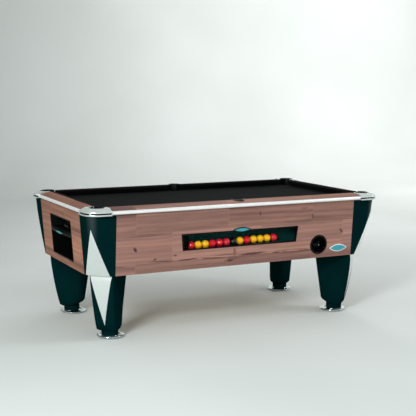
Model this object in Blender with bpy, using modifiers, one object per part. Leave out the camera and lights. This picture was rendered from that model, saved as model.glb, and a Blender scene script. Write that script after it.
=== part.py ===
"""Coin-operated pool table with a ball-return cabinet. Metres, +Z up, origin on the floor at the centre.

+X runs along the table, -Y is the side with the viewing window, and the coin unit is at the -X end.
"""
import math

import bmesh
import bpy
from mathutils import Matrix, Vector

# Clearance between pieces that touch
GAP = 0.0003

# Heights
APRON_BOTTOM = 0.425
BED_HEIGHT = 0.8118
SLATE_THICK = 0.022
CLOTH_THICK = 0.0012
TRIM_BOTTOM = 0.815
TRIM_TOP = 0.838
RAIL_CREST = 0.856

# Plan of the top
TRIM_LENGTH = 2.132
TRIM_WIDTH = 1.188
TRIM_DEPTH = 0.012
RAIL_WIDTH = 0.074
RAIL_LAND = 0.004
FRAME_CORNER_RADIUS = 0.070
CASTING_PROUD = 0.012
CASTING_WING = 0.150
CASTING_PLATE = 0.030
CASTING_SLOPE = 0.045
GROOVE_LOW = 0.8213
GROOVE_HIGH = 0.830
GROOVE_DEPTH = 0.012
GROOVE_WEB = 0.014

# Cushions and pockets
CUSHION_DEPTH = 0.045
CUSHION_BASE = 0.018
CUSHION_CROWN = 0.022
CUSHION_TUCK = 0.004
CORNER_JAW = 0.070
MIDDLE_JAW = 0.045
CUSHION_FACE = 0.004
NOSE_LOW = 0.031
NOSE_HIGH = 0.036
CORNER_CUT_BACK = 0.0545
MIDDLE_CUT_BACK = 0.0455
POCKET_RADIUS = 0.050
POCKET_WALL = 0.006
POCKET_LIP = 0.0065
POCKET_DROP = 0.041
POCKET_SLACK = 0.003
POCKET_MOUTH = 0.080
POCKET_FALL = 0.010
MIDDLE_RADIUS = 0.0435
MIDDLE_SET_IN = 0.008

# Leaning cabinet
APRON_THICK = 0.022
APRON_INSET = 0.021
END_INSET = 0.005
APRON_LEAN = 0.030
POST_WING_X = 0.189
POST_WING_Y = 0.187
BEARER_DEPTH = 0.020
BEARER_HEIGHT = 0.030
FLOOR_THICK = 0.018

# Corner posts
POST_APEX = 0.720
POST_ROUND_TOP = 0.060
POST_ROUND_FOOT = 0.012
POST_FACET_MARGIN = 0.004
POST_BULGE = 0.006
POST_WALL = 0.010

# Legs and feet
LEG_INSET_X = 0.219
LEG_INSET_Y = 0.224
LEG_FOOT_HEIGHT = 0.050
LEG_TOP_ACROSS = 0.165
LEG_TOP_OUT = 0.131
LEG_TOP_IN = 0.101
LEG_FOOT_ACROSS = 0.118
LEG_FOOT_DEEP = 0.132
LEG_EDGE_RADIUS = 0.014
LEG_INNER_ROUND = 0.050
LEG_HEEL_CUT = 0.030
LEG_HEEL_RISE = 0.025
FOOT_RADIUS = 0.089
FOOT_NECK_RADIUS = 0.054
FOOT_DISC_HEIGHT = 0.028
FOOT_DISH_HEIGHT = 0.0185
FOOT_RIM_HEIGHT = 0.011
FOOT_RIM_ROUND = 0.004
STEM_RADIUS = 0.014
STEM_LENGTH = 0.080
STEM_CLEARANCE = 0.0005
FOOT_TRAVEL = 0.020

# Viewing window and ball tray
WINDOW_TOP_LENGTH = 0.866
WINDOW_FOOT_LENGTH = 0.843
WINDOW_TOP = 0.660
WINDOW_BOTTOM = 0.5515
WINDOW_BORDER = 0.009
WINDOW_PROUD = 0.002
WINDOW_FRAME_DEPTH = 0.012
PANE_THICK = 0.004
BALL_RADIUS = 0.0254
BALL_COUNT = 6
YELLOW_BALLS = (1, 2)
BALL_SETBACK = 0.073
BALL_FIRST_X = -0.3385
BALL_GAP = 0.0004
TRAY_CUP_GAP = 0.037
TRAY_SLOPE = 0.017
TRAY_FLOOR_RISE = 0.0019
TRAY_SILL = 0.0025
BALL_PASSAGE = 0.060
TRAY_WALL = 0.008
TRAY_TOP = 0.690
TRAY_BACK_GAP = 0.006

# Cue-ball cup
CUP_INSET = 0.272
CUP_HEIGHT = 0.518
CUP_RADIUS = 0.068
CUP_RIM = 0.010
CUP_WALL = 0.005
CUP_DEPTH = 0.085
CUP_LIP = 0.004
CUP_ENTRY_RADIUS = 0.0315

# Coin unit and ball hopper at the end
END_OPENING_WIDTH = 0.430
HOPPER_BOTTOM = 0.4685
HOPPER_TOP = 0.645
COIN_TOP = 0.739
HOPPER_DEPTH = 0.200
HOPPER_WALL = 0.008
CHUTE_WALL = 0.005
CHUTE_HEIGHT = 0.040
CHUTE_INNER = 0.058
CHUTE_END_Y = -0.165
CHUTE_DROP = 0.040
LEDGE_HEIGHT = 0.020
LEDGE_BOW = 0.012
COIN_RECESS = 0.075
COIN_WALL = 0.008
SLIDE_Y = -0.100
SLIDE_HEIGHT = 0.690
SLIDE_WIDTH = 0.060
SLIDE_THICK = 0.010
SLIDE_GRIP = 0.080
SLIDE_GRIP_DEPTH = 0.014
SLIDE_TRAVEL = 0.050
PUSH_ROD_WIDTH = 0.014

# Release gate
GATE_SHAFT_RADIUS = 0.005
GATE_SHAFT_CLEARANCE = 0.0005
GATE_SHAFT_HEIGHT = 0.630
GATE_FLAP_THICK = 0.006
GATE_FLAP_WIDTH = 0.044
GATE_FLAP_LENGTH = 0.062
GATE_LEVER_LENGTH = 0.068
GATE_LEVER_WIDTH = 0.016

# Ball-return run under the bed
RUN_END_MARGIN = 0.022
RUN_SIDE_MARGIN = 0.012
RUN_WALL = 0.006
RUN_FLOOR_HIGH = 0.725
RUN_FLOOR_LOW = 0.705
RUN_OUTLET_RADIUS = 0.034

# Roundness
ROUND_STEPS = 32
ARC_STEPS = 5
POST_RINGS = 9

# Derived places
SLATE_TOP = BED_HEIGHT - CLOTH_THICK - GAP
SLATE_BOTTOM = SLATE_TOP - SLATE_THICK
FRAME_BOTTOM = BED_HEIGHT + GAP
FRAME_HALF_X = TRIM_LENGTH / 2 - TRIM_DEPTH
FRAME_HALF_Y = TRIM_WIDTH / 2 - TRIM_DEPTH
RAIL_LINE_X = FRAME_HALF_X - RAIL_WIDTH
RAIL_LINE_Y = FRAME_HALF_Y - RAIL_WIDTH
FACE_TOP_X = TRIM_LENGTH / 2 - END_INSET
FACE_TOP_Y = TRIM_WIDTH / 2 - APRON_INSET
FRONT_APRON_LENGTH = TRIM_LENGTH - 2 * POST_WING_X
END_APRON_LENGTH = TRIM_WIDTH - 2 * POST_WING_Y
BALL_ROW_Y = BALL_SETBACK - FACE_TOP_Y
CUP_X = FRONT_APRON_LENGTH / 2 - CUP_INSET
TRAY_LENGTH = 2 * (CUP_X - CUP_RADIUS - TRAY_CUP_GAP)
LEAN = APRON_LEAN / (BED_HEIGHT - APRON_BOTTOM)
TRAY_FLOOR_MID = WINDOW_BOTTOM + TRAY_FLOOR_RISE
GATE_SHAFT_X = BALL_FIRST_X - BALL_RADIUS - BALL_GAP - GATE_FLAP_THICK / 2

ENDS = (-1, 1)
CORNERS = {"front_left": (-1, -1), "front_right": (1, -1), "back_left": (-1, 1), "back_right": (1, 1)}


def clear_scene():
    for item in list(bpy.data.objects):
        bpy.data.objects.remove(item, do_unlink=True)


def new_collection(name):
    group = bpy.data.collections.new(name)
    bpy.context.scene.collection.children.link(group)
    return group


clear_scene()
PARTS = new_collection("pool_table")
CUTTERS = new_collection("cutters")


def finish(name, colour, roughness, metallic=0.0):
    """A plain Principled material."""
    made = bpy.data.materials.new(name)
    made.use_nodes = True
    shader = made.node_tree.nodes["Principled BSDF"]
    shader.inputs["Base Color"].default_value = (*colour, 1.0)
    shader.inputs["Roughness"].default_value = roughness
    shader.inputs["Metallic"].default_value = metallic
    return made


WALNUT = finish("walnut_laminate", (0.25, 0.12, 0.075), 0.5)
GREEN_BLACK = finish("green_black_lacquer", (0.005, 0.02, 0.02), 0.35)
ALUMINIUM = finish("polished_aluminium", (0.8, 0.8, 0.79), 0.2, 1.0)
CHROME = finish("chrome", (0.75, 0.75, 0.75), 0.1, 1.0)
CLOTH = finish("black_cloth", (0.006, 0.006, 0.007), 0.95)
SLATE = finish("slate", (0.1, 0.11, 0.12), 0.8)
BLACK_PLASTIC = finish("black_plastic", (0.006, 0.007, 0.009), 0.35)
PLYWOOD = finish("plywood", (0.42, 0.3, 0.18), 0.7)
ACRYLIC = finish("clear_acrylic", (0.8, 0.85, 0.85), 0.05)
STEEL = finish("zinc_plated_steel", (0.5, 0.5, 0.5), 0.35, 1.0)
BALL_RED = finish("red_ball", (0.45, 0.01, 0.012), 0.08)
BALL_YELLOW = finish("yellow_ball", (0.75, 0.42, 0.01), 0.08)


def part(name, bm, paint, smooth=True):
    """Make a part from a bmesh, with its normals turned outwards."""
    if bm.calc_volume(signed=True) < 0:
        bmesh.ops.reverse_faces(bm, faces=bm.faces)
    mesh = bpy.data.meshes.new(name)
    bm.to_mesh(mesh)
    bm.free()
    if smooth:
        mesh.shade_smooth()
        mesh.set_sharp_from_angle(angle=math.radians(35))
    made = bpy.data.objects.new(name, mesh)
    made.data.materials.append(paint)
    PARTS.objects.link(made)
    return made


def cutter(name, bm):
    """Make a hidden cutting body from a bmesh."""
    made = part(name, bm, BLACK_PLASTIC, smooth=False)
    PARTS.objects.unlink(made)
    CUTTERS.objects.link(made)
    made.hide_render = True
    made.display_type = "WIRE"
    return made


def combine(target, tool, operation="DIFFERENCE"):
    step = target.modifiers.new(operation.lower(), "BOOLEAN")
    step.operation = operation
    step.solver = "EXACT"
    step.object = tool


def loft(rings):
    """A closed body through rings of points, one above another."""
    bm = bmesh.new()
    loops = [[bm.verts.new(point) for point in ring] for ring in rings]
    for lower, upper in zip(loops, loops[1:]):
        for i in range(len(lower)):
            j = (i + 1) % len(lower)
            bm.faces.new((lower[i], lower[j], upper[j], upper[i]))
    bm.faces.new(loops[0][::-1])
    bm.faces.new(loops[-1])
    return bm


def block(low, high):
    """A box between two corners."""
    bm = bmesh.new()
    bmesh.ops.create_cube(bm, size=1.0)
    low, high = Vector(low), Vector(high)
    bmesh.ops.scale(bm, vec=high - low, verts=bm.verts)
    bmesh.ops.translate(bm, vec=(low + high) / 2, verts=bm.verts)
    return bm


def cylinder(radius, low, high, turn=Matrix()):
    """A round bar between two heights on its own axis, then turned and placed."""
    bm = bmesh.new()
    bmesh.ops.create_cone(bm, cap_ends=True, segments=ROUND_STEPS, radius1=radius, radius2=radius,
                          depth=high - low)
    bmesh.ops.translate(bm, vec=(0, 0, (low + high) / 2), verts=bm.verts)
    bmesh.ops.transform(bm, matrix=turn, verts=bm.verts)
    return bm


def extrude_along_x(profile, low, high):
    """A profile of (y, z) points pushed along X."""
    return loft([[(low, y, z) for y, z in profile], [(high, y, z) for y, z in profile]])


def extrude_along_y(profile, low, high):
    """A profile of (x, z) points pushed along Y."""
    return loft([[(x, low, z) for x, z in profile], [(x, high, z) for x, z in profile]])


def extrude_up(outline, low, high):
    """An outline of (x, y) points pushed up."""
    return loft([[(x, y, low) for x, y in outline], [(x, y, high) for x, y in outline]])


def turned(name, profile, paint, steps=ROUND_STEPS):
    """A closed (radius, height) profile turned about Z by a Screw modifier."""
    bm = bmesh.new()
    points = [bm.verts.new((r, 0, z)) for r, z in profile]
    for start, end in zip(points, points[1:]):
        bm.edges.new((start, end))
    mesh = bpy.data.meshes.new(name)
    bm.to_mesh(mesh)
    bm.free()
    made = bpy.data.objects.new(name, mesh)
    made.data.materials.append(paint)
    PARTS.objects.link(made)
    screw = made.modifiers.new("turn", "SCREW")
    screw.steps = screw.render_steps = steps
    screw.use_merge_vertices = True
    screw.merge_threshold = 0.00001
    screw.use_smooth_shade = True
    return made


def front_face(z):
    """Distance of the long aprons' leaning outer face from the centre line at a height."""
    return FACE_TOP_Y - LEAN * (BED_HEIGHT - z)


def end_face(z):
    """Distance of the end aprons' leaning outer face from the centre line at a height."""
    return FACE_TOP_X - LEAN * (BED_HEIGHT - z)


def on_front(x, z, depth):
    """A point behind the front apron's outer face."""
    return (x, depth - front_face(z), z)


def on_end(y, z, depth):
    """A point behind the coin end apron's outer face."""
    return (depth - end_face(z), y, z)


def face_prism(outline, near, far, place):
    """An outline on a leaning face, pushed in from one depth to another."""
    return loft([[place(u, z, depth) for u, z in outline] for depth in (near, far)])


def corner_chamfer(face_x, face_y, inset, cut):
    """Outline of a board inside the cabinet: set in from its faces, with its corners cut at 45 degrees."""
    outline = []
    for sx, sy in ((-1, -1), (1, -1), (1, 1), (-1, 1)):
        along_x = (sx * (face_x - cut + inset), sy * (face_y - inset))
        along_y = (sx * (face_x - inset), sy * (face_y - cut + inset))
        outline += [along_x, along_y] if sx == sy * -1 else [along_y, along_x]
    return outline


def pocket_centres():
    """The six pocket axes, by name."""
    middle_y = RAIL_LINE_Y - MIDDLE_SET_IN
    places = {name: (sx * RAIL_LINE_X, sy * RAIL_LINE_Y, POCKET_RADIUS) for name, (sx, sy) in CORNERS.items()}
    places["front_middle"] = (0, -middle_y, MIDDLE_RADIUS)
    places["back_middle"] = (0, middle_y, MIDDLE_RADIUS)
    return places


POCKETS = pocket_centres()


HALF_STEP = math.pi / ROUND_STEPS


def pocket_cutter(name, pocket, clearance, low, high):
    """A round cutter on a pocket's axis, its flats turned like the liner's."""
    x, y, radius = POCKETS[pocket]
    turn = Matrix.Translation((x, y, 0)) @ Matrix.Rotation(HALF_STEP, 4, "Z")
    return cutter(name, cylinder(radius + clearance, low, high, turn))


POCKET_TOP = RAIL_CREST + POCKET_LIP
POCKET_BOTTOM = BED_HEIGHT - POCKET_DROP
BEARER_TOP = SLATE_BOTTOM - GAP
BEARER_LOW = BEARER_TOP - BEARER_HEIGHT
CLOSE_POCKETS = {
    name: pocket_cutter(f"cut_pocket_{name}", name, GAP, POCKET_BOTTOM - RAIL_WIDTH, POCKET_TOP + RAIL_WIDTH)
    for name in POCKETS
}
WIDE_POCKETS = {
    name: pocket_cutter(f"cut_wide_{name}", name, POCKET_SLACK, BEARER_LOW - POCKET_SLACK, POCKET_TOP)
    for name in POCKETS
}


def slate_notch(name):
    """The slate is cut back from a pocket, and a corner's notch runs out to the slate's edges."""
    low, high = SLATE_BOTTOM - SLATE_THICK, SLATE_TOP + SLATE_THICK
    if name not in CORNERS:
        return pocket_cutter(f"cut_slate_{name}", name, POCKET_FALL, low, high)
    sx, sy = CORNERS[name]
    radius = POCKET_RADIUS + POCKET_FALL
    steps = 2 * ARC_STEPS
    outline = [(radius * math.cos(math.pi / 2 * i / steps), radius * math.sin(math.pi / 2 * i / steps))
               for i in range(steps + 1)]
    outline += [(-2 * RAIL_WIDTH, radius), (-2 * RAIL_WIDTH, -2 * RAIL_WIDTH), (radius, -2 * RAIL_WIDTH)]
    corner = [(sx * (RAIL_LINE_X - u), sy * (RAIL_LINE_Y - v)) for u, v in outline]
    return cutter(f"cut_slate_{name}", extrude_up(corner, low, high))


def apron_profile(face, side):
    """Leaning board with a bearer for the slate, as (distance from the centre line, height) points."""
    bearer_edge = face(BEARER_LOW) - APRON_THICK - BEARER_DEPTH
    points = [(face(BED_HEIGHT), BED_HEIGHT), (face(APRON_BOTTOM), APRON_BOTTOM),
              (face(APRON_BOTTOM) - APRON_THICK, APRON_BOTTOM), (face(BEARER_LOW) - APRON_THICK, BEARER_LOW),
              (bearer_edge, BEARER_LOW), (bearer_edge, BEARER_TOP),
              (face(BEARER_TOP) - APRON_THICK, BEARER_TOP), (face(BED_HEIGHT) - APRON_THICK, BED_HEIGHT)]
    return [(side * out, z) for out, z in points]


def window_outline(grow):
    """The viewing window on the front face, wider at its top."""
    top, foot = WINDOW_TOP_LENGTH / 2 + grow, WINDOW_FOOT_LENGTH / 2 + grow
    return [(-foot, WINDOW_BOTTOM - grow), (foot, WINDOW_BOTTOM - grow),
            (top, WINDOW_TOP + grow), (-top, WINDOW_TOP + grow)]


def end_outline(low, high, grow):
    """A rectangle on the coin end's face."""
    half = END_OPENING_WIDTH / 2 + grow
    return [(-half, low - grow), (half, low - grow), (half, high + grow), (-half, high + grow)]


CUP_BARREL = CUP_RADIUS - CUP_RIM
CUP_TURN = (Matrix.Translation(on_front(CUP_X, CUP_HEIGHT, 0))
            @ Matrix.Rotation(math.pi / 2 + math.atan(LEAN), 4, "X"))


def make_aprons():
    half = FRONT_APRON_LENGTH / 2
    for name, side in (("front", -1), ("back", 1)):
        board = part(f"apron_{name}", extrude_along_x(apron_profile(front_face, side), -half, half), WALNUT)
        combine(board, WIDE_POCKETS[f"{name}_middle"])
        if name == "front":
            opening = face_prism(window_outline(0), -APRON_THICK, APRON_THICK * 2, on_front)
            combine(board, cutter("cut_window", opening))
            hole = cylinder(CUP_BARREL + GAP, -APRON_THICK * 2, APRON_THICK, CUP_TURN)
            combine(board, cutter("cut_cup", hole))
    half = END_APRON_LENGTH / 2
    for name, side in (("left", -1), ("right", 1)):
        board = part(f"apron_{name}", extrude_along_y(apron_profile(end_face, side), -half, half), WALNUT)
        if name == "left":
            outline = end_outline(HOPPER_BOTTOM, COIN_TOP, 0)
            opening = face_prism(outline, -APRON_THICK, APRON_THICK * 2, on_end)
            combine(board, cutter("cut_coin_end", opening))


def facet_foot():
    """Facet inset at the foot, where the facet's edges come close to the aprons' ends."""
    front_end = end_face(APRON_BOTTOM) - FRONT_APRON_LENGTH / 2
    end_end = front_face(APRON_BOTTOM) - END_APRON_LENGTH / 2
    edge = POST_FACET_MARGIN + POST_ROUND_FOOT * math.tan(math.pi / 8)
    return (min(front_end, end_end) - edge) / math.sqrt(2)


def post_inset(z):
    """Facet inset along the diagonal and edge radius at a height: a full round above the apex."""
    round_inset = math.tan(math.pi / 8) * POST_ROUND_TOP
    if z >= POST_APEX:
        return round_inset, POST_ROUND_TOP
    down = (POST_APEX - z) / (POST_APEX - APRON_BOTTOM)
    inset = round_inset + (facet_foot() - round_inset) * down - POST_BULGE * 4 * down * (1 - down)
    radius = POST_ROUND_TOP + (POST_ROUND_FOOT - POST_ROUND_TOP) * down
    return inset, min(radius, inset / math.tan(math.pi / 8))


def post_section(z):
    """Section of a post at a height, as (along the front, along the end) distances from the sharp corner."""
    inset, radius = post_inset(z)
    start = inset * math.sqrt(2) + radius * math.tan(math.pi / 8)
    arc = []
    for i in range(ARC_STEPS + 1):
        angle = -math.pi / 2 - math.pi / 4 * i / ARC_STEPS
        arc.append((start + radius * math.cos(angle), radius + radius * math.sin(angle)))
    front_end = end_face(z) - FRONT_APRON_LENGTH / 2 - GAP
    end_end = front_face(z) - END_APRON_LENGTH / 2 - GAP
    inner = math.sqrt(2) * (inset + POST_WALL) - APRON_THICK
    outer = [(front_end, 0)] + arc + [(b, a) for a, b in reversed(arc)] + [(0, end_end)]
    inside = [(APRON_THICK, end_end), (APRON_THICK, min(inner, end_end - GAP)),
              (min(inner, front_end - GAP), APRON_THICK), (front_end, APRON_THICK)]
    return outer + inside


def make_posts():
    heights = [BED_HEIGHT, POST_APEX]
    heights += [POST_APEX + (APRON_BOTTOM - POST_APEX) * i / POST_RINGS for i in range(1, POST_RINGS + 1)]
    for name, (sx, sy) in CORNERS.items():
        rings = [[(sx * (end_face(z) - a), sy * (front_face(z) - b), z) for a, b in post_section(z)]
                 for z in heights]
        bm = loft(rings)
        bmesh.ops.remove_doubles(bm, verts=bm.verts, dist=0.00001)
        bmesh.ops.triangulate(bm, faces=bm.faces)
        post = part(f"post_{name}", bm, GREEN_BLACK)
        combine(post, WIDE_POCKETS[name])


def leg_section(up, heel_cut):
    """A rounded block, as (outwards on the diagonal, across it) points; up runs from 0 at the foot to 1."""
    foot_half = LEG_FOOT_DEEP / 2
    out = foot_half + (LEG_TOP_OUT - foot_half) * up
    inward = foot_half + (LEG_TOP_IN - foot_half) * up - heel_cut
    side = (LEG_FOOT_ACROSS + (LEG_TOP_ACROSS - LEG_FOOT_ACROSS) * up) / 2
    inner_round = LEG_INNER_ROUND + (LEG_EDGE_RADIUS - LEG_INNER_ROUND) * up
    points = []
    corners = ((out, side, LEG_EDGE_RADIUS), (-inward, side, inner_round), (-inward, -side, inner_round),
               (out, -side, LEG_EDGE_RADIUS))
    for index, (d, c, radius) in enumerate(corners):
        centre_d = d - math.copysign(radius, d)
        centre_c = c - math.copysign(radius, c)
        for i in range(ARC_STEPS):
            angle = math.pi / 2 * (index + i / (ARC_STEPS - 1))
            points.append((centre_d + radius * math.cos(angle), centre_c + radius * math.sin(angle)))
    return points


def make_legs_and_feet():
    leg_top = APRON_BOTTOM - GAP
    heel_up = LEG_HEEL_RISE / (leg_top - LEG_FOOT_HEIGHT)
    levels = [(LEG_FOOT_HEIGHT, leg_section(0, LEG_HEEL_CUT)),
              (LEG_FOOT_HEIGHT + LEG_HEEL_RISE, leg_section(heel_up, 0)), (leg_top, leg_section(1, 0))]
    stem_top = LEG_FOOT_HEIGHT + STEM_LENGTH
    neck_top = LEG_FOOT_HEIGHT - GAP
    dish_radius = (FOOT_RADIUS + FOOT_NECK_RADIUS) / 2
    foot_profile = [(0, stem_top), (STEM_RADIUS, stem_top), (STEM_RADIUS, neck_top),
                    (FOOT_NECK_RADIUS, neck_top), (FOOT_NECK_RADIUS, FOOT_DISC_HEIGHT),
                    (dish_radius, FOOT_DISH_HEIGHT), (FOOT_RADIUS, FOOT_RIM_HEIGHT),
                    (FOOT_RADIUS, FOOT_RIM_ROUND), (FOOT_RADIUS - FOOT_RIM_ROUND, 0), (0, 0)]
    for name, (sx, sy) in CORNERS.items():
        x, y = sx * (TRIM_LENGTH / 2 - LEG_INSET_X), sy * (TRIM_WIDTH / 2 - LEG_INSET_Y)
        root = math.sqrt(0.5)
        rings = [[(x + root * (sx * d - sy * c), y + root * (sy * d + sx * c), z) for d, c in section]
                 for z, section in levels]
        leg = part(f"leg_{name}", loft(rings), GREEN_BLACK)
        place = Matrix.Translation((x, y, 0))
        bore = cylinder(STEM_RADIUS + STEM_CLEARANCE, 0, stem_top + FOOT_TRAVEL / 4, place)
        combine(leg, cutter(f"cut_stem_{name}", bore))
        foot = turned(f"foot_{name}", foot_profile, CHROME)
        foot.location = (x, y, 0)


def make_bed():
    inset = APRON_THICK + GAP
    foot_cut = math.sqrt(2) * (facet_foot() + POST_WALL + GAP)
    board = corner_chamfer(end_face(APRON_BOTTOM), front_face(APRON_BOTTOM), inset, foot_cut)
    part("cabinet_floor", extrude_up(board, APRON_BOTTOM, APRON_BOTTOM + FLOOR_THICK), PLYWOOD)
    top_cut = math.sqrt(2) * (post_inset(BED_HEIGHT)[0] + POST_WALL) + POST_WALL / 4
    bed = corner_chamfer(end_face(SLATE_BOTTOM), front_face(SLATE_BOTTOM), inset, top_cut)
    slate = part("slate_bed", extrude_up(bed, SLATE_BOTTOM, SLATE_TOP), SLATE)
    cloth = part("bed_cloth", extrude_up(bed, SLATE_TOP + GAP, BED_HEIGHT), CLOTH)
    for name, tool in CLOSE_POCKETS.items():
        combine(slate, slate_notch(name))
        combine(cloth, tool)


def sloping_slab(half_x, half_y, radius, low, edge, crest, width, edge_round):
    """A slab with round corners whose top rises from its rim to a raised middle."""
    bm = block((-half_x, -half_y, low), (half_x, half_y, edge))
    upright = [e for e in bm.edges if abs(e.verts[0].co.z - e.verts[1].co.z) > 0.001]
    bmesh.ops.bevel(bm, geom=upright, offset=radius, segments=8, profile=0.5, affect="EDGES", material=-1)
    top = max(bm.faces, key=lambda f: f.calc_center_median().z)
    rim = list(top.edges)
    if edge_round:
        bmesh.ops.bevel(bm, geom=rim, offset=edge_round, segments=3, profile=0.5, affect="EDGES", material=-1)
        top = max(bm.faces, key=lambda f: (round(f.calc_center_median().z, 5), f.calc_area()))
    bmesh.ops.inset_region(bm, faces=[top], thickness=width - edge_round - RAIL_LAND, use_even_offset=True)
    bmesh.ops.translate(bm, vec=(0, 0, crest - edge), verts=top.verts)
    return bm


def groove_cutter(half_x, half_y, radius):
    """A ring that cuts the castings' side groove; a web is left across it on each corner's diagonal."""
    around = block((-2 * half_x, -2 * half_y, GROOVE_LOW), (2 * half_x, 2 * half_y, GROOVE_HIGH))
    ring = cutter("cut_groove", around)
    low, high = GROOVE_LOW - GROOVE_DEPTH, GROOVE_HIGH + GROOVE_DEPTH
    inner = sloping_slab(half_x - GROOVE_DEPTH, half_y - GROOVE_DEPTH, radius - GROOVE_DEPTH, low, high, high,
                         CASTING_SLOPE, 0)
    combine(ring, cutter("keep_groove_floor", inner))
    for name, (sx, sy) in CORNERS.items():
        web = block((-half_x, -GROOVE_WEB / 2, low), (half_x, GROOVE_WEB / 2, high))
        middle = Vector((sx * (half_x - radius), sy * (half_y - radius), 0))
        turn = Matrix.Rotation(math.atan2(sy, sx), 4, "Z")
        bmesh.ops.transform(web, matrix=Matrix.Translation(middle) @ turn, verts=web.verts)
        combine(ring, cutter(f"keep_web_{name}", web))
    return ring


def make_castings():
    outer_x, outer_y = TRIM_LENGTH / 2, TRIM_WIDTH / 2
    tall = RAIL_CREST - FRAME_BOTTOM
    play = cutter("cut_play", block((-RAIL_LINE_X, -RAIL_LINE_Y, FRAME_BOTTOM - tall),
                                    (RAIL_LINE_X, RAIL_LINE_Y, RAIL_CREST + tall)))
    shelf = RAIL_CREST - CASTING_PLATE
    hollow = sloping_slab(FRAME_HALF_X, FRAME_HALF_Y, FRAME_CORNER_RADIUS, FRAME_BOTTOM - tall, shelf, shelf,
                          CASTING_SLOPE, 0)
    core = cutter("cut_casting_core", hollow)
    proud_x, proud_y = outer_x + CASTING_PROUD, outer_y + CASTING_PROUD
    rim = TRIM_DEPTH + CASTING_PROUD
    inner_x, inner_y = outer_x - CASTING_WING, outer_y - CASTING_WING
    groove = groove_cutter(proud_x, proud_y, FRAME_CORNER_RADIUS + rim)
    for name, (sx, sy) in CORNERS.items():
        slab = sloping_slab(proud_x, proud_y, FRAME_CORNER_RADIUS + rim, FRAME_BOTTOM, TRIM_TOP, RAIL_CREST,
                            CASTING_SLOPE, rim / 6)
        casting = part(f"casting_{name}", slab, ALUMINIUM)
        near = Vector((sx * inner_x, sy * inner_y, FRAME_BOTTOM - tall))
        far = Vector((sx * outer_x * 2, sy * outer_y * 2, RAIL_CREST + tall))
        keep = block([min(pair) for pair in zip(near, far)], [max(pair) for pair in zip(near, far)])
        combine(casting, cutter(f"keep_{name}", keep), "INTERSECT")
        combine(casting, core)
        combine(casting, play)
        combine(casting, CLOSE_POCKETS[name])
        combine(casting, groove)


def rail_profile(side, line, outer):
    """A rail's end view: flat foot, upright back, top sloping up to the cushion."""
    return [(side * line, FRAME_BOTTOM), (side * outer, FRAME_BOTTOM), (side * outer, TRIM_TOP),
            (side * (line + RAIL_LAND), RAIL_CREST), (side * line, RAIL_CREST)]


def make_rails_and_trim():
    inner_x, inner_y = TRIM_LENGTH / 2 - CASTING_WING, TRIM_WIDTH / 2 - CASTING_WING
    for name, side in (("front", -1), ("back", 1)):
        profile = rail_profile(side, RAIL_LINE_Y, FRAME_HALF_Y)
        for half, start, end in (("left", GAP - inner_x, -GAP / 2), ("right", GAP / 2, inner_x - GAP)):
            rail = part(f"rail_{name}_{half}", extrude_along_x(profile, start, end), WALNUT)
            combine(rail, WIDE_POCKETS[f"{name}_middle"])
    for name, side in (("left", -1), ("right", 1)):
        profile = rail_profile(side, RAIL_LINE_X, FRAME_HALF_X)
        part(f"rail_{name}_end", extrude_along_y(profile, GAP - inner_y, inner_y - GAP), WALNUT)
    nose = (TRIM_TOP - TRIM_BOTTOM) / 2
    bull = [(TRIM_DEPTH * math.cos(angle), TRIM_BOTTOM + nose + nose * math.sin(angle))
            for angle in (math.pi * (i / (2 * ARC_STEPS) - 0.5) for i in range(2 * ARC_STEPS + 1))]
    for name, side in (("front", -1), ("back", 1)):
        profile = [(side * (FRAME_HALF_Y + GAP + (TRIM_DEPTH - GAP) / TRIM_DEPTH * d), z) for d, z in bull]
        part(f"trim_{name}", extrude_along_x(profile, -inner_x + GAP, inner_x - GAP), ALUMINIUM)
    for name, side in (("left", -1), ("right", 1)):
        profile = [(side * (FRAME_HALF_X + GAP + (TRIM_DEPTH - GAP) / TRIM_DEPTH * d), z) for d, z in bull]
        part(f"trim_{name}", extrude_along_y(profile, -inner_y + GAP, inner_y - GAP), ALUMINIUM)


def cushion_rings(start, start_jaw, end, end_jaw, place):
    """Rings of a cushion from its foot to its crown; both ends round off into the pockets."""
    levels = [(BED_HEIGHT + GAP, CUSHION_BASE, CUSHION_TUCK), (BED_HEIGHT + NOSE_LOW, CUSHION_DEPTH, 0),
              (BED_HEIGHT + NOSE_HIGH, CUSHION_DEPTH, 0),
              ((BED_HEIGHT + NOSE_HIGH + RAIL_CREST) / 2, CUSHION_DEPTH - CUSHION_FACE, CUSHION_FACE / 2),
              (RAIL_CREST - GAP, CUSHION_CROWN, CUSHION_TUCK / 2)]
    rings = []
    for z, depth, tuck in levels:
        bend = []
        for i in range(2 * ARC_STEPS + 1):
            angle = math.pi / 2 * i / (2 * ARC_STEPS)
            bend.append((1 - math.cos(angle), depth * math.sin(angle)))
        ring = [(end - tuck - end_jaw * back, d) for back, d in bend]
        ring += [(start + tuck + start_jaw * back, d) for back, d in reversed(bend)]
        rings.append([place(u, d, z) for u, d in ring])
    return rings


def make_cushions():
    corner = RAIL_LINE_X - CORNER_CUT_BACK
    for name, sy in (("front", -1), ("back", 1)):
        for side, sx in (("left", -1), ("right", 1)):
            rings = cushion_rings(MIDDLE_CUT_BACK, MIDDLE_JAW, corner, CORNER_JAW,
                                  lambda u, d, z: (sx * u, sy * (RAIL_LINE_Y - GAP - d), z))
            part(f"cushion_{name}_{side}", loft(rings), CLOTH)
    corner = RAIL_LINE_Y - CORNER_CUT_BACK
    for name, sx in (("left", -1), ("right", 1)):
        rings = cushion_rings(-corner, CORNER_JAW, corner, CORNER_JAW,
                              lambda u, d, z: (sx * (RAIL_LINE_X - GAP - d), u, z))
        part(f"cushion_{name}_end", loft(rings), CLOTH)


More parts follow.
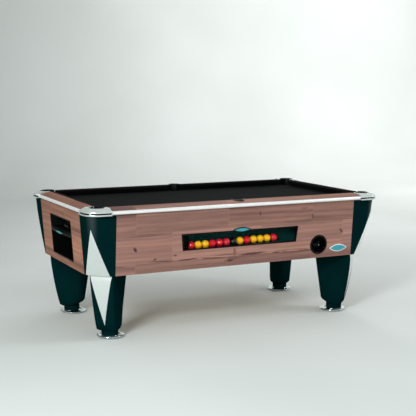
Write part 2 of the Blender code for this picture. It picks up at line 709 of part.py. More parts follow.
def make_pocket_liners():
    mouth_low = BED_HEIGHT - CLOTH_THICK
    for name, (x, y, radius) in POCKETS.items():
        inner = radius - POCKET_WALL
        profile = [(inner, POCKET_TOP - POCKET_WALL / 2), (inner + POCKET_WALL / 2, POCKET_TOP),
                   (radius, POCKET_TOP - POCKET_WALL / 2), (radius, POCKET_BOTTOM), (inner, POCKET_BOTTOM),
                   (inner, POCKET_TOP - POCKET_WALL / 2)]
        liner = turned(f"pocket_{name}", profile, BLACK_PLASTIC)
        liner.location = (x, y, 0)
        liner.rotation_euler.z = HALF_STEP
        reach = radius * 2
        if name in CORNERS:
            sx, sy = CORNERS[name]
            bm = block((0, -POCKET_MOUTH / 2, mouth_low), (reach, POCKET_MOUTH / 2, POCKET_TOP + POCKET_WALL))
            turn = Matrix.Rotation(math.atan2(-sy, -sx), 4, "Z")
            bmesh.ops.transform(bm, matrix=Matrix.Translation((x, y, 0)) @ turn, verts=bm.verts)
        else:
            side = math.copysign(1, y)
            near, far = side * RAIL_LINE_Y, side * (RAIL_LINE_Y - reach)
            bm = block((-reach, min(near, far), mouth_low), (reach, max(near, far), POCKET_TOP + POCKET_WALL))
        combine(liner, cutter(f"cut_mouth_{name}", bm))


def tray_floor(x):
    return TRAY_FLOOR_MID + TRAY_SLOPE * x


TRAY_FRONT = GAP + APRON_THICK - front_face(tray_floor(-TRAY_LENGTH / 2) - TRAY_WALL)
TRAY_BACK = BALL_ROW_Y + BALL_RADIUS + TRAY_BACK_GAP + TRAY_WALL
GATE_TURN = Matrix.Translation((GATE_SHAFT_X, 0, GATE_SHAFT_HEIGHT)) @ Matrix.Rotation(math.pi / 2, 4, "X")


def make_window():
    border = face_prism(window_outline(-GAP), -WINDOW_PROUD, WINDOW_FRAME_DEPTH, on_front)
    frame = part("window_frame", border, BLACK_PLASTIC)
    sight = face_prism(window_outline(-WINDOW_BORDER), -APRON_THICK, APRON_THICK, on_front)
    combine(frame, cutter("cut_sight", sight))
    near = WINDOW_FRAME_DEPTH + GAP
    part("window_pane", face_prism(window_outline(-2 * GAP), near, near + PANE_THICK, on_front), ACRYLIC)


def make_ball_tray():
    half = TRAY_LENGTH / 2
    tall = TRAY_TOP - WINDOW_BOTTOM
    outside = [(-half, tray_floor(-half) - TRAY_WALL), (half, tray_floor(half) - TRAY_WALL),
               (half, TRAY_TOP), (-half, TRAY_TOP)]
    tray = part("ball_tray", extrude_along_y(outside, TRAY_FRONT, TRAY_BACK), BLACK_PLASTIC)
    inner = half - TRAY_WALL
    inside = [(-inner, tray_floor(-inner)), (inner, tray_floor(inner)),
              (inner, TRAY_TOP + tall), (-inner, TRAY_TOP + tall)]
    combine(tray, cutter("cut_tray", extrude_along_y(inside, TRAY_FRONT - tall, TRAY_BACK - TRAY_WALL)))
    exit_low = tray_floor(-inner) + TRAY_SILL
    way_out = block((-half - TRAY_WALL, TRAY_FRONT - tall, exit_low),
                    (-inner + TRAY_WALL, TRAY_BACK - TRAY_WALL - TRAY_SILL, exit_low + BALL_PASSAGE))
    combine(tray, cutter("cut_tray_exit", way_out))
    pivot = cylinder(GATE_SHAFT_RADIUS + GATE_SHAFT_CLEARANCE, -tall * 10, tall * 10, GATE_TURN)
    combine(tray, cutter("cut_pivot", pivot))


def make_balls():
    """The balls that wait next to the gate."""
    for i in range(BALL_COUNT):
        x = BALL_FIRST_X + i * (2 * BALL_RADIUS + BALL_GAP)
        bm = bmesh.new()
        bmesh.ops.create_uvsphere(bm, u_segments=12, v_segments=8, radius=BALL_RADIUS)
        ball = part(f"ball_{i + 1:02d}", bm, BALL_YELLOW if i in YELLOW_BALLS else BALL_RED)
        ball.location = (x, BALL_ROW_Y, tray_floor(x) + BALL_RADIUS * math.sqrt(1 + TRAY_SLOPE ** 2) + GAP)


RUN_NOTCH_HALF = END_OPENING_WIDTH / 2 + APRON_THICK / 2
RUN_NOTCH_X = end_face(COIN_TOP) - COIN_RECESS - COIN_WALL - APRON_THICK
RUN_OUTLET_X = TRAY_LENGTH / 2 - TRAY_WALL - 2 * BALL_RADIUS


RUN_HALF_X = end_face(RUN_FLOOR_LOW - RUN_WALL) - APRON_THICK - RUN_END_MARGIN
RUN_HALF_Y = front_face(RUN_FLOOR_LOW - RUN_WALL) - APRON_THICK - RUN_SIDE_MARGIN


def run_floor(x):
    middle = (RUN_FLOOR_HIGH + RUN_FLOOR_LOW) / 2
    return middle - (RUN_FLOOR_HIGH - RUN_FLOOR_LOW) / (2 * RUN_HALF_X) * x


def make_return_run():
    def outline(inset):
        x, y = RUN_HALF_X - inset, RUN_HALF_Y - inset
        notch_x, notch_y = RUN_NOTCH_X - inset, RUN_NOTCH_HALF + inset
        return [(-x, -y), (x, -y), (x, y), (-x, y), (-x, notch_y), (-notch_x, notch_y), (-notch_x, -notch_y),
                (-x, -notch_y)]

    top = BEARER_LOW - GAP
    shell = outline(0)
    run = part("return_run", loft([[(x, y, run_floor(x) - RUN_WALL) for x, y in shell],
                                   [(x, y, top) for x, y in shell]]), PLYWOOD)
    hollow = outline(RUN_WALL)
    combine(run, cutter("cut_run", loft([[(x, y, run_floor(x)) for x, y in hollow],
                                         [(x, y, top + RUN_WALL) for x, y in hollow]])))
    place = Matrix.Translation((RUN_OUTLET_X, RUN_OUTLET_RADIUS + RUN_WALL * 2 - RUN_HALF_Y, 0))
    outlet = cylinder(RUN_OUTLET_RADIUS, RUN_FLOOR_LOW - RUN_WALL * 4, RUN_FLOOR_LOW + RUN_WALL * 4, place)
    combine(run, cutter("cut_run_outlet", outlet))


def make_hopper():
    half = END_OPENING_WIDTH / 2 - GAP
    top = HOPPER_TOP - GAP
    shell = face_prism(end_outline(HOPPER_BOTTOM, HOPPER_TOP, -GAP), 0, HOPPER_DEPTH, on_end)
    hopper = part("hopper", shell, BLACK_PLASTIC)
    bowl = end_outline(HOPPER_BOTTOM, HOPPER_TOP - LEDGE_HEIGHT + HOPPER_WALL, -HOPPER_WALL)
    hollow = face_prism(bowl, -HOPPER_WALL * 4, HOPPER_DEPTH - HOPPER_WALL, on_end)
    combine(hopper, cutter("cut_hopper", hollow))
    steps = 4 * ARC_STEPS
    front_line = [half * (2 * i / steps - 1) for i in range(steps + 1)]
    ledge = []
    for z in (HOPPER_TOP - LEDGE_HEIGHT + HOPPER_WALL / 4, top):
        ring = [on_end(y, z, -LEDGE_BOW * (1 - (y / half) ** 2)) for y in front_line]
        ledge.append(ring + [on_end(half, z, HOPPER_WALL * 2), on_end(-half, z, HOPPER_WALL * 2)])
    combine(hopper, cutter("join_ledge", loft(ledge)), "UNION")

    start_x = -TRAY_LENGTH / 2 - GAP
    back_x = HOPPER_DEPTH - end_face(HOPPER_BOTTOM)
    outer = CHUTE_INNER / 2 + CHUTE_WALL
    start = (start_x, TRAY_FRONT + outer, tray_floor(start_x) - TRAY_WALL / 2)
    finish_at = (back_x - HOPPER_WALL * 2, CHUTE_END_Y, start[2] - CHUTE_DROP)

    def channel(half_width, low, high):
        inner = half_width - CHUTE_WALL
        return [(-half_width, low), (half_width, low), (half_width, high), (inner, high),
                (inner, low + CHUTE_WALL), (-inner, low + CHUTE_WALL), (-inner, high), (-half_width, high)]

    section = channel(outer, -CHUTE_WALL, CHUTE_HEIGHT)
    rings = [[(x, y + u, z + v) for u, v in section] for x, y, z in (start, finish_at)]
    combine(hopper, cutter("join_chute", loft(rings)), "UNION")
    slack = CHUTE_WALL / 5
    room = CHUTE_INNER / 2 - slack
    gap_section = [(-room, slack), (room, slack), (room, BALL_PASSAGE), (-room, BALL_PASSAGE)]
    run = Vector(finish_at) - Vector(start)
    step = run / abs(run.x) * HOPPER_WALL * 4
    past = Vector(finish_at) + step / 2
    before = Vector(finish_at) - step
    rings = [[(p.x, p.y + u, p.z + v) for u, v in gap_section] for p in (before, past)]
    combine(hopper, cutter("cut_chute_way", loft(rings)))


def make_coin_unit():
    shell = face_prism(end_outline(HOPPER_TOP, COIN_TOP, -GAP), 0, COIN_RECESS + COIN_WALL, on_end)
    unit = part("coin_mech", shell, BLACK_PLASTIC)
    recess = face_prism(end_outline(HOPPER_TOP, COIN_TOP, -COIN_WALL), -COIN_WALL * 4, COIN_RECESS, on_end)
    combine(unit, cutter("cut_coin_recess", recess))
    face = -end_face(SLIDE_HEIGHT)
    wide, thick = SLIDE_WIDTH / 2 + GAP, SLIDE_THICK / 2 + GAP
    slot = block((face, SLIDE_Y - wide, SLIDE_HEIGHT - thick),
                 (face + 3 * COIN_RECESS, SLIDE_Y + wide, SLIDE_HEIGHT + thick))
    combine(unit, cutter("cut_coin_slot", slot))

    grip_front = face + COIN_RECESS - SLIDE_TRAVEL - SLIDE_GRIP_DEPTH - SLIDE_GRIP_DEPTH / 4
    grip_back = grip_front + SLIDE_GRIP_DEPTH
    plate_end = face + COIN_RECESS + 4 * COIN_WALL
    rod_end = GATE_SHAFT_X - GATE_FLAP_THICK / 2 - 2 * GAP
    halves = ((grip_front, SLIDE_GRIP), (grip_back, SLIDE_GRIP), (grip_back, SLIDE_WIDTH),
              (plate_end, SLIDE_WIDTH), (plate_end, PUSH_ROD_WIDTH), (rod_end, PUSH_ROD_WIDTH))
    outline = [(x, SLIDE_Y - width / 2) for x, width in halves]
    outline += [(x, SLIDE_Y + width / 2) for x, width in reversed(halves)]
    low = SLIDE_HEIGHT - SLIDE_THICK / 2
    part("coin_slide", extrude_up(outline, low, low + SLIDE_THICK), STEEL)


def make_gate():
    """Flap on a cross shaft, with the lever that the coin slide's rod pushes; its origin is on the shaft."""
    flap_y = BALL_ROW_Y
    thick = GATE_FLAP_THICK / 2
    shaft = cylinder(GATE_SHAFT_RADIUS, flap_y - GATE_FLAP_WIDTH / 2, SLIDE_Y + GATE_LEVER_WIDTH / 2,
                     Matrix.Rotation(-math.pi / 2, 4, "X"))
    gate = part("release_gate", shaft, STEEL)
    inner = GATE_FLAP_WIDTH / 2 - GATE_SHAFT_RADIUS / 2
    flap = cutter("join_flap", block((-thick, flap_y - inner, -GATE_FLAP_LENGTH), (thick, flap_y + inner, 0)))
    side = GATE_LEVER_WIDTH / 2 - GATE_SHAFT_RADIUS / 4
    arm = block((-thick, SLIDE_Y - side, 0), (thick, SLIDE_Y + side, GATE_LEVER_LENGTH))
    for tool in (flap, cutter("join_lever", arm)):
        tool.location = (GATE_SHAFT_X, 0, GATE_SHAFT_HEIGHT)
        combine(gate, tool, "UNION")
    gate.location = (GATE_SHAFT_X, 0, GATE_SHAFT_HEIGHT)


def make_cue_ball_cup():
    inner = CUP_BARREL - CUP_WALL
    floor = CUP_WALL - CUP_DEPTH
    profile = [(0, floor), (inner - CUP_RIM, floor), (inner, floor + CUP_RIM), (inner, 0),
               (inner + CUP_LIP, CUP_LIP), (CUP_RADIUS - CUP_LIP, CUP_LIP), (CUP_RADIUS, CUP_LIP / 2),
               (CUP_RADIUS, GAP), (CUP_BARREL, GAP), (CUP_BARREL, -CUP_DEPTH), (0, -CUP_DEPTH)]
    cup = turned("cue_ball_cup", profile, BLACK_PLASTIC)
    cup.matrix_world = CUP_TURN
    entry_y = BALL_ROW_Y + BALL_RADIUS / 2
    entry = cylinder(CUP_ENTRY_RADIUS, CUP_HEIGHT, CUP_HEIGHT + 2 * CUP_RADIUS,
                     Matrix.Translation((CUP_X, entry_y, 0)))
    combine(cup, cutter("cut_cup_entry", entry))


make_aprons()
make_posts()
make_legs_and_feet()
make_bed()
make_castings()
make_rails_and_trim()
make_cushions()
make_pocket_liners()
make_window()
make_ball_tray()
make_balls()
make_return_run()
make_hopper()
make_coin_unit()
make_gate()
make_cue_ball_cup()
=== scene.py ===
# %% [markdown]
# # Dressing a coin-operated pool table
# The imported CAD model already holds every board, leg, pocket and lever at its real size. This lesson
# gives those pieces the surfaces that the eye knows: printed walnut laminate, satin lacquer, polished
# metal, napped black cloth. Each step names the real piece, says how it could be made, and why it is
# made this way here.

# %% Load the fixed frame
import math
import bmesh
import bpy
from mathutils import Matrix, Vector
from mathutils.bvhtree import BVHTree


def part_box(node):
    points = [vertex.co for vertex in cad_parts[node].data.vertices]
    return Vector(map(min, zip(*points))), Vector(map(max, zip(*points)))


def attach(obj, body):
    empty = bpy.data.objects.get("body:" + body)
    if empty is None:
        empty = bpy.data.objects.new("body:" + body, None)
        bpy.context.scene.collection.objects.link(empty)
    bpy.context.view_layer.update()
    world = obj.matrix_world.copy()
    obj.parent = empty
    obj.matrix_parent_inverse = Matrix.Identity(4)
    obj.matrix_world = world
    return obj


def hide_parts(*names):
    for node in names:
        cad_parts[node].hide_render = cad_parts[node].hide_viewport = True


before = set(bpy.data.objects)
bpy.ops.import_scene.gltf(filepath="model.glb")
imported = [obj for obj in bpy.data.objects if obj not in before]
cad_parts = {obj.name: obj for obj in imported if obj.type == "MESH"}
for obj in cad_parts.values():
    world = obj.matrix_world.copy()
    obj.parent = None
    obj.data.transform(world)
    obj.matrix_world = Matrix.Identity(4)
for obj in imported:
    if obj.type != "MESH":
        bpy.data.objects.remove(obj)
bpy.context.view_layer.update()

# %% [markdown]
# ## Small helpers
# A mesh can be kept as a bmesh while it is shaped, and becomes an object only when it is done. One
# function does that last step for every piece, so that none is forgotten: it shades the mesh, gives it
# a finish, hangs it on the empty of the body that carries it, and hides the CAD nodes it stands for.

# %% Turn a finished bmesh into a piece
SMOOTH_ANGLE = math.radians(40)
BEVEL_ANGLE = math.radians(30)
BEVEL_SEGMENTS = 3


def link(name, data):
    """A new object at the origin of the scene."""
    made = bpy.data.objects.new(name, data)
    bpy.context.scene.collection.objects.link(made)
    return made


def to_object(name, bm):
    """A smooth object from a bmesh, which is used up."""
    mesh = bpy.data.meshes.new(name)
    bm.to_mesh(mesh)
    bm.free()
    mesh.shade_smooth()
    return link(name, mesh)


def make_piece(name, bm, finish, slot, body="cabinet", nodes=(), smooth=SMOOTH_ANGLE):
    piece = to_object(name, bm)
    piece.data.set_sharp_from_angle(angle=smooth)
    piece.data.materials.append(finish)
    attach(piece, body)
    if nodes:
        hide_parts(*nodes)
    return piece


def refinish(piece, finish, faces):
    """Give the faces of these numbers a second finish."""
    piece.data.materials.append(finish)
    for index in faces:
        piece.data.polygons[index].material_index = 1


def soften(piece, width):
    """Round a piece's hard edges by a real radius, so that they catch the light."""
    step = piece.modifiers.new("edges", "BEVEL")
    step.width, step.segments = width, BEVEL_SEGMENTS
    step.limit_method, step.angle_limit = "ANGLE", BEVEL_ANGLE


# %% Copy a CAD node as a clean mesh
CORNERS = {"front_left": (-1, -1), "front_right": (1, -1), "back_left": (-1, 1), "back_right": (1, 1)}
MERGE = 0.00002
FLAT = math.radians(0.6)


def middle(node):
    low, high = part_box(node)
    return (low + high) / 2


def outward(corner):
    """The level way out through a corner of the table."""
    return Vector((*CORNERS[corner], 0)).normalized()


def cad_copy(node):
    """The node's triangles, welded and with coplanar ones joined into whole faces."""
    bm = bmesh.new()
    bm.from_mesh(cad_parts[node].data)
    bmesh.ops.remove_doubles(bm, verts=bm.verts, dist=MERGE)
    bmesh.ops.dissolve_limit(bm, angle_limit=FLAT, verts=bm.verts, edges=bm.edges)
    return bm


def dress(node, finish, slot, edge, body="cabinet"):
    """A CAD node with its own finish, and softened edges where an edge radius is given."""
    piece = make_piece(f"{node}_dressed", cad_copy(node), finish, slot, body, [node])
    if edge:
        soften(piece, edge)
    return piece


# %% [markdown]
# ## Camera
# The photograph was taken with a long lens from the front left, a little above the bed. The place and
# the lens below come from fitting a pinhole camera to the corners of the aprons and to the feet. The
# turn is built from yaw, pitch and roll, because those three are easy to read and to nudge.

# %% Place the camera
CAMERA_PLACE = (-2.9499, -5.9598, 1.6244)
CAMERA_YAW = 0.4640
CAMERA_PITCH = -0.1326
CAMERA_ROLL = 0.0041
FOCAL_PIXELS = 950.9
FRAME_PIXELS = 416
SENSOR_MM = 36.0

camera_data = bpy.data.cameras.new("photo_camera")
camera_data.sensor_width = SENSOR_MM
camera_data.lens = FOCAL_PIXELS * SENSOR_MM / FRAME_PIXELS
camera = link("photo_camera", camera_data)
turn = Matrix.Rotation(-CAMERA_YAW, 4, "Z") @ Matrix.Rotation(math.pi / 2 + CAMERA_PITCH, 4, "X")
turn = turn @ Matrix.Rotation(CAMERA_ROLL, 4, "Z")
camera.matrix_world = Matrix.Translation(CAMERA_PLACE) @ turn
bpy.context.scene.camera = camera
print("lens", round(camera_data.lens, 2), "mm")

# %% [markdown]
# ## Colours and nodes
# Hex values are how a painter's swatch is written, and they are sRGB. Shaders work in linear light, so
# one function converts them. A second small function adds a shader node, sets its values and links its
# sockets: with it, a finish reads as a short list of steps.

# %% Functions for every finish
def hex_colour(text):
    channels = [int(text[i:i + 2], 16) / 255 for i in (1, 3, 5)]
    linear = [c / 12.92 if c <= 0.04045 else ((c + 0.055) / 1.055) ** 2.4 for c in channels]
    return (*linear, 1.0)


def add(tree, kind, links=None, to=None, fixed=None, stops=(), **settings):
    """Add a node: links maps an input to a node or a (node, output), to is the (node, input) it feeds,
    fixed sets inputs by number, stops are a ramp's (position, hex), settings set attributes or inputs
    by name."""
    made = tree.nodes.new("ShaderNode" + kind)
    for key, value in settings.items():
        if hasattr(made, key):
            setattr(made, key, value)
        else:
            made.inputs[key.replace("_", " ")].default_value = value
    for key, value in (fixed or {}).items():
        made.inputs[key].default_value = value
    for _ in stops[2:]:
        made.color_ramp.elements.new(0.5)
    for i, (position, colour) in enumerate(stops):
        made.color_ramp.elements[i].position = position
        made.color_ramp.elements[i].color = hex_colour(colour)
    for key, source in (links or {}).items():
        node, output = source if isinstance(source, tuple) else (source, 0)
        tree.links.new(node.outputs[output], made.inputs[key])
    if to:
        tree.links.new(made.outputs[0], to[0].inputs[to[1]])
    return made


def new_finish(name, **values):
    """A named material: its tree, its shader with values on its own sockets, object coordinates."""
    made = bpy.data.materials.new(name)
    made.use_nodes = True
    tree = made.node_tree
    shader = tree.nodes["Principled BSDF"]
    for key, value in values.items():
        shader.inputs[key.replace("_", " ")].default_value = value
    return made, tree, shader, (add(tree, "TexCoord"), "Object")


def drive(shader, source, tint=(), haze=(), relief=()):
    """Let a pattern drive a finish: a tint of ramp stops, a haze of lowest and highest roughness, a
    relief of strength and depth."""
    tree = shader.id_data
    if tint:
        add(tree, "ValToRGB", {"Fac": source}, (shader, "Base Color"), stops=tint)
    if haze:
        add(tree, "MapRange", {"Value": source}, (shader, "Roughness"), To_Min=haze[0], To_Max=haze[1])
    if relief:
        add(tree, "Bump", {"Height": source}, (shader, "Normal"), Strength=relief[0],
            Distance=relief[1])


# %% [markdown]
# ## Floor, backdrop and light
# A plain pale floor that curves up into the backdrop is what a studio uses: there is no corner to see.
# One square panel at the upper left and front throws the shadow to the back right; its size decides how
# soft that shadow's edge is. A weak panel from the right opens up the dark sides, one behind the table
# clears the floor there, and the last two only wash the far right, the brightest part of the picture.
# The paint is darkened far to the left: painted shade, standing in for the light that falls off there.

# %% Sweep of the studio floor
FLOOR_REACH = 9.0
FLOOR_WIDE = 40.0
FLOOR_NEAR = 30.0
SWEEP_RADIUS = 2.5
SWEEP_STEPS = 16
BACKDROP_HEIGHT = 6.0
FLOOR_DROP = 0.0004
PER_METRE = 1000
PAINT_CLOUD_MM = 1667
VERT, EDGE = bmesh.types.BMVert, bmesh.types.BMEdge


def only(kind, geom):
    return [g for g in geom if isinstance(g, kind)]


def studio_sweep():
    """A line drawn back as the floor, spun up as the sweep, and drawn on as the backdrop."""
    bm = bmesh.new()
    ends = [bm.verts.new((x, -FLOOR_NEAR, -FLOOR_DROP)) for x in (-FLOOR_WIDE, FLOOR_WIDE)]
    centre = Vector((0, FLOOR_REACH - SWEEP_RADIUS, SWEEP_RADIUS))
    made = bmesh.ops.extrude_edge_only(bm, edges=[bm.edges.new(ends)])["geom"]
    bmesh.ops.translate(bm, vec=(0, FLOOR_NEAR + centre.y, 0), verts=only(VERT, made))
    made = bmesh.ops.spin(bm, geom=only(EDGE, made), cent=centre, axis=(1, 0, 0), angle=math.pi / 2,
                          steps=SWEEP_STEPS)["geom_last"]
    made = bmesh.ops.extrude_edge_only(bm, edges=only(EDGE, made))["geom"]
    bmesh.ops.translate(bm, vec=(0, 0, BACKDROP_HEIGHT), verts=only(VERT, made))
    bmesh.ops.recalc_face_normals(bm, faces=bm.faces)
    return bm


# Studio floor paint: matt, faintly uneven, with painted shade that darkens it towards the far left
STUDIO_PAINT, tree, shader, place = new_finish("studio_paint", Roughness=0.75, Specular_IOR_Level=0.2)
cloudy = add(tree, "TexNoise", {"Vector": place}, Scale=PER_METRE / PAINT_CLOUD_MM, Detail=2.0)
tint = add(tree, "ValToRGB", {"Fac": cloudy}, stops=[(0.3, "#d1d5d2"), (0.7, "#d9dcda")])
# Painted shade: the paint colour is scaled down towards the far left and back, where the light falls off
across = add(tree, "VectorMath", {0: place}, fixed={1: (1.0, -0.5, 0.0)}, operation="DOT_PRODUCT")
painted_shade_left = add(tree, "MapRange", {"Value": (across, "Value")}, From_Min=-4.0, From_Max=-0.3,
           To_Min=0.75, interpolation_type="SMOOTHSTEP")
add(tree, "VectorMath", {0: tint, "Scale": painted_shade_left}, (shader, "Base Color"), operation="SCALE")

sweep = to_object("studio_floor", studio_sweep())
sweep.data.materials.append(STUDIO_PAINT)
print("floor and backdrop:", len(sweep.data.polygons), "faces")

# %% Panels of light and the pale surround
AIM = (0, 0, 0.55)


def panel(name, place, size, watts, colour, aim=AIM):
    light = bpy.data.lights.new(name, "AREA")
    light.shape = "SQUARE"
    light.size, light.energy, light.color = size, watts, hex_colour(colour)[:3]
    lamp = link(name, light)
    lamp.location = place
    lamp.rotation_euler = (Vector(aim) - Vector(place)).to_track_quat("-Z", "Y").to_euler()


# In each row: name, place, side in metres, watts, colour, and where it aims
panel("key_panel", (-5.3, -4.8, 3.5), 1.5, 385, "#f6fdfd")
panel("right_panel", (4.2, -2.5, 3.6), 1.3, 70, "#f4f8ff")
panel("back_panel", (2.2, 3.4, 3.3), 1.0, 26, "#ffffff", aim=(1.2, 1.2, 0.0))
panel("wash_panel", (7.8, 4.0, 3.5), 2.0, 120, "#ffffff", aim=(7.6, 9.0, 2.2))
panel("floor_wash_panel", (6.5, 2.0, 5.0), 2.0, 170, "#ffffff", aim=(6.0, 8.0, 0.5))
world = bpy.data.worlds.new("pale_surround")
bpy.context.scene.world = world
world.use_nodes = True
tree = world.node_tree
surround = tree.nodes["Background"]
surround.inputs["Strength"].default_value = 0.95
up = add(tree, "SeparateXYZ", {"Vector": (add(tree, "TexCoord"), "Generated")})
add(tree, "ValToRGB", {"Fac": (up, "Z")}, (surround, "Color"),
    stops=[(0.0, "#f4f6f5"), (0.9, "#bcc0bf")])
bpy.context.scene.view_settings.view_transform = "Standard"
print("panels of light:", [lamp.name for lamp in bpy.data.lights])

# %% [markdown]
# ## Walnut laminate
# The aprons and rails are chipboard with a printed laminate: a picture of brushed walnut planks under a
# satin film. One wood texture could be stretched over everything, but the print shows planks with ends,
# fine fibres, dark shakes and a few knots. So planks are laid first, and each gets its own tone. Fibres
# and streaks then lighten or darken that tone by a few per cent, as a multiplier, so that they never
# change its hue. The scale of each pattern is worked out from a real size in millimetres.

# %% Planks, fibres and streaks
PLANK_WIDTH_MM = 190
PLANK_LENGTH_MM = 646
PLANK_OFFSET = 0.615
PLANK_START = (0.10, -0.11, 0.0)
PLANK_JUMP = (1.7, 0.9, 1.3)
SEAM_MM = 1.6
GRAIN_SIZES_MM = (5, 22, 120)
GRAIN_STRETCH = 24
RING_MM = 34.9
# A wave texture with a scale of 1 has a band every pi / 10 metres
WAVE_BAND = math.pi / 10
FIBRE_SWING, STREAK_SWING, RING_SWING, PLANK_SWING = 0.09, 0.19, 0.06, 0.12


def swing(tree, source, amount, before=None):
    """Turns a pattern into a multiplier around 1, times the multiplier before it."""
    made = add(tree, "MapRange", {"Value": source}, From_Min=0.28, From_Max=0.72, To_Min=1 - amount,
               To_Max=1 + amount)
    return add(tree, "Math", {0: made, 1: before}, operation="MULTIPLY") if before else made


def planks(tree, place, axis):
    """Planks in (along, height), and a grain space squeezed along them and jumping between them."""
    split = add(tree, "SeparateXYZ", {"Vector": place})
    flat = add(tree, "CombineXYZ", {"X": (split, axis), "Y": (split, "Z")})
    laid = add(tree, "VectorMath", {0: flat}, fixed={1: PLANK_START}, operation="ADD")
    board = add(tree, "TexBrick", {"Vector": laid}, offset=PLANK_OFFSET, Scale=1.0,
                Mortar_Size=SEAM_MM / PER_METRE, Mortar_Smooth=1.0, Mortar=(0.8, 0.8, 0.8, 1.0),
                Brick_Width=PLANK_LENGTH_MM / PER_METRE, Row_Height=PLANK_WIDTH_MM / PER_METRE,
                Color1=(0.0, 0.0, 0.0, 1.0), Color2=(1.0, 1.0, 1.0, 1.0))
    jump = add(tree, "VectorMath", {0: board}, fixed={1: PLANK_JUMP}, operation="MULTIPLY")
    moved = add(tree, "VectorMath", {0: place, 1: jump}, operation="ADD")
    squeeze = 1 / GRAIN_STRETCH
    stretch = (squeeze, 1, 1) if axis == "X" else (1, squeeze, 1)
    grain = add(tree, "Mapping", {"Vector": moved}, Scale=stretch)
    return flat, board, grain


def wood(tree, board, grain, tones):
    """Plank colour times its multipliers; fibres and streaks come back too, for later steps."""
    fibre, streak, cloud = [add(tree, "TexNoise", {"Vector": grain}, Scale=PER_METRE / size, Detail=4.0,
                                Roughness=0.6, Distortion=0.4) for size in GRAIN_SIZES_MM]
    ring = add(tree, "TexWave", {"Vector": grain}, bands_direction="Z", wave_profile="SIN",
               Scale=WAVE_BAND * PER_METRE / RING_MM, Distortion=7.0, Detail=2.0, Detail_Scale=1.2)
    tone = add(tree, "ValToRGB", {"Fac": cloud}, stops=list(zip((0.3, 0.5, 0.7), tones)))
    level = None
    for source, amount in ((fibre, FIBRE_SWING), (streak, STREAK_SWING),
                           ((ring, "Fac"), RING_SWING), (board, PLANK_SWING)):
        level = swing(tree, source, amount, level)
    shaded = add(tree, "VectorMath", {0: tone, "Scale": level}, operation="SCALE")
    return shaded, fibre, streak


# %% [markdown]
# ## Shakes and knots
# A shake is a crack along the grain, and a knot is the foot of a branch; the print has both, in a purple
# brown. Noise alone would scatter them anywhere, so the ones that the photograph shows are drawn one by
# one. Each is an oval: a mapping shrinks space around its centre, and the distance from the centre says
# how dark it is. Space is made wavy first, so that no edge is a clean curve.

# %% Marks, each (along, height, half length, half height) in mm, tilt in degrees, strength
FRONT_MARKS = [(-700, 665, 170, 4.5, 0, 0.4), (-660, 675, 110, 3, 0.5, 0.35),
               (530, 695, 240, 5, 0, 0.38), (560, 705, 170, 3, -0.4, 0.32),
               (-560, 494.5, 110, 4.2, -2.8, 0.75), (-382.5, 493, 100, 4.6, 2, 0.8),
               (-203.5, 489.5, 110, 4.8, -4, 0.85), (-109, 502, 110, 3.6, -1.7, 0.6),
               (85, 496, 120, 9.2, 0.8, 0.85), (478, 780, 35, 4, -1, 0.6), (-861, 478, 60, 4, 0, 0.55),
               (-300, 452, 90, 3, 1, 0.35), (-751, 583, 22, 13, -50, 0.8), (-476, 526, 18, 8, 0, 0.75),
               (-614, 512, 16, 8, 30, 0.7), (-78, 464, 30, 8.5, 10, 0.8), (-47, 516, 12, 33, 4, 0.5),
               (784, 604, 24, 12, -40, 0.7), (134, 762, 10, 18, 5, 0.5), (546, 720, 10, 23, 0, 0.55)]
FRONT_RINGS = [(390, 490, 150, 13, 0, 0.5), (400, 491, 85, 6, 0, 0.45), (-75, 466, 50, 13, 10, 0.3)]
END_MARKS = [(-430, 590, 70, 5, 2, 0.5), (-400, 560, 60, 4, -2, 0.4), (-410, 660, 30, 5, 0, 0.45),
             (400, 540, 60, 4.5, 1.5, 0.55), (330, 470, 120, 4, -1, 0.4),
             (50, 458, 160, 3.5, 0.6, 0.35), (-180, 770, 150, 4, 0.8, 0.35)]
END_RINGS = [(-420, 510, 60, 9, 0, 0.35)]
MARK_COLOUR = "#3d2426"
MARK_EDGE = (0.40, 1.15)
RING_EDGE = {1: 0.85, 2: 0.14}
MARK_SWING = 0.35
RIPPLE_MM = 62.5
RIPPLES = {1: (0.020, 0.012, 0.0), 2: (-0.010, -0.006, 0.0)}


def mark(tree, way, at, ring):
    """How much one mark darkens each spot; a ring darkens only near its own edge."""
    along, height, half_long, half_high = [size / PER_METRE for size in at[:4]]
    tilt, strength = at[4:]
    here = add(tree, "Mapping", {"Vector": way}, vector_type="TEXTURE",
               Location=(along, height, 0), Rotation=(0, 0, math.radians(tilt)),
               Scale=(half_long, half_high, 1))
    away = add(tree, "VectorMath", {0: here}, operation="LENGTH")
    if ring:
        edge = add(tree, "Math", {0: (away, "Value")}, fixed=RING_EDGE, operation="COMPARE")
        return add(tree, "MapRange", {"Value": edge}, To_Max=strength)
    return add(tree, "MapRange", {"Value": (away, "Value")}, From_Min=MARK_EDGE[0],
               From_Max=MARK_EDGE[1], To_Min=strength, To_Max=0.0, interpolation_type="SMOOTHSTEP")


def darkness(tree, flat, streak, marks, rings):
    """The strongest mark at each spot, broken up a little by the streaks of the wood."""
    ripple = add(tree, "TexNoise", {"Vector": flat}, Scale=PER_METRE / RIPPLE_MM, Detail=3.0)
    push = add(tree, "VectorMath", {0: (ripple, "Color")}, fixed=RIPPLES, operation="MULTIPLY_ADD")
    way = add(tree, "VectorMath", {0: flat, 1: push}, operation="ADD")
    drawn = [mark(tree, way, at, at in rings) for at in marks + rings]
    most = drawn[0]
    for other in drawn[1:]:
        most = add(tree, "Math", {0: most, 1: other}, operation="MAXIMUM")
    return swing(tree, streak, MARK_SWING, most)


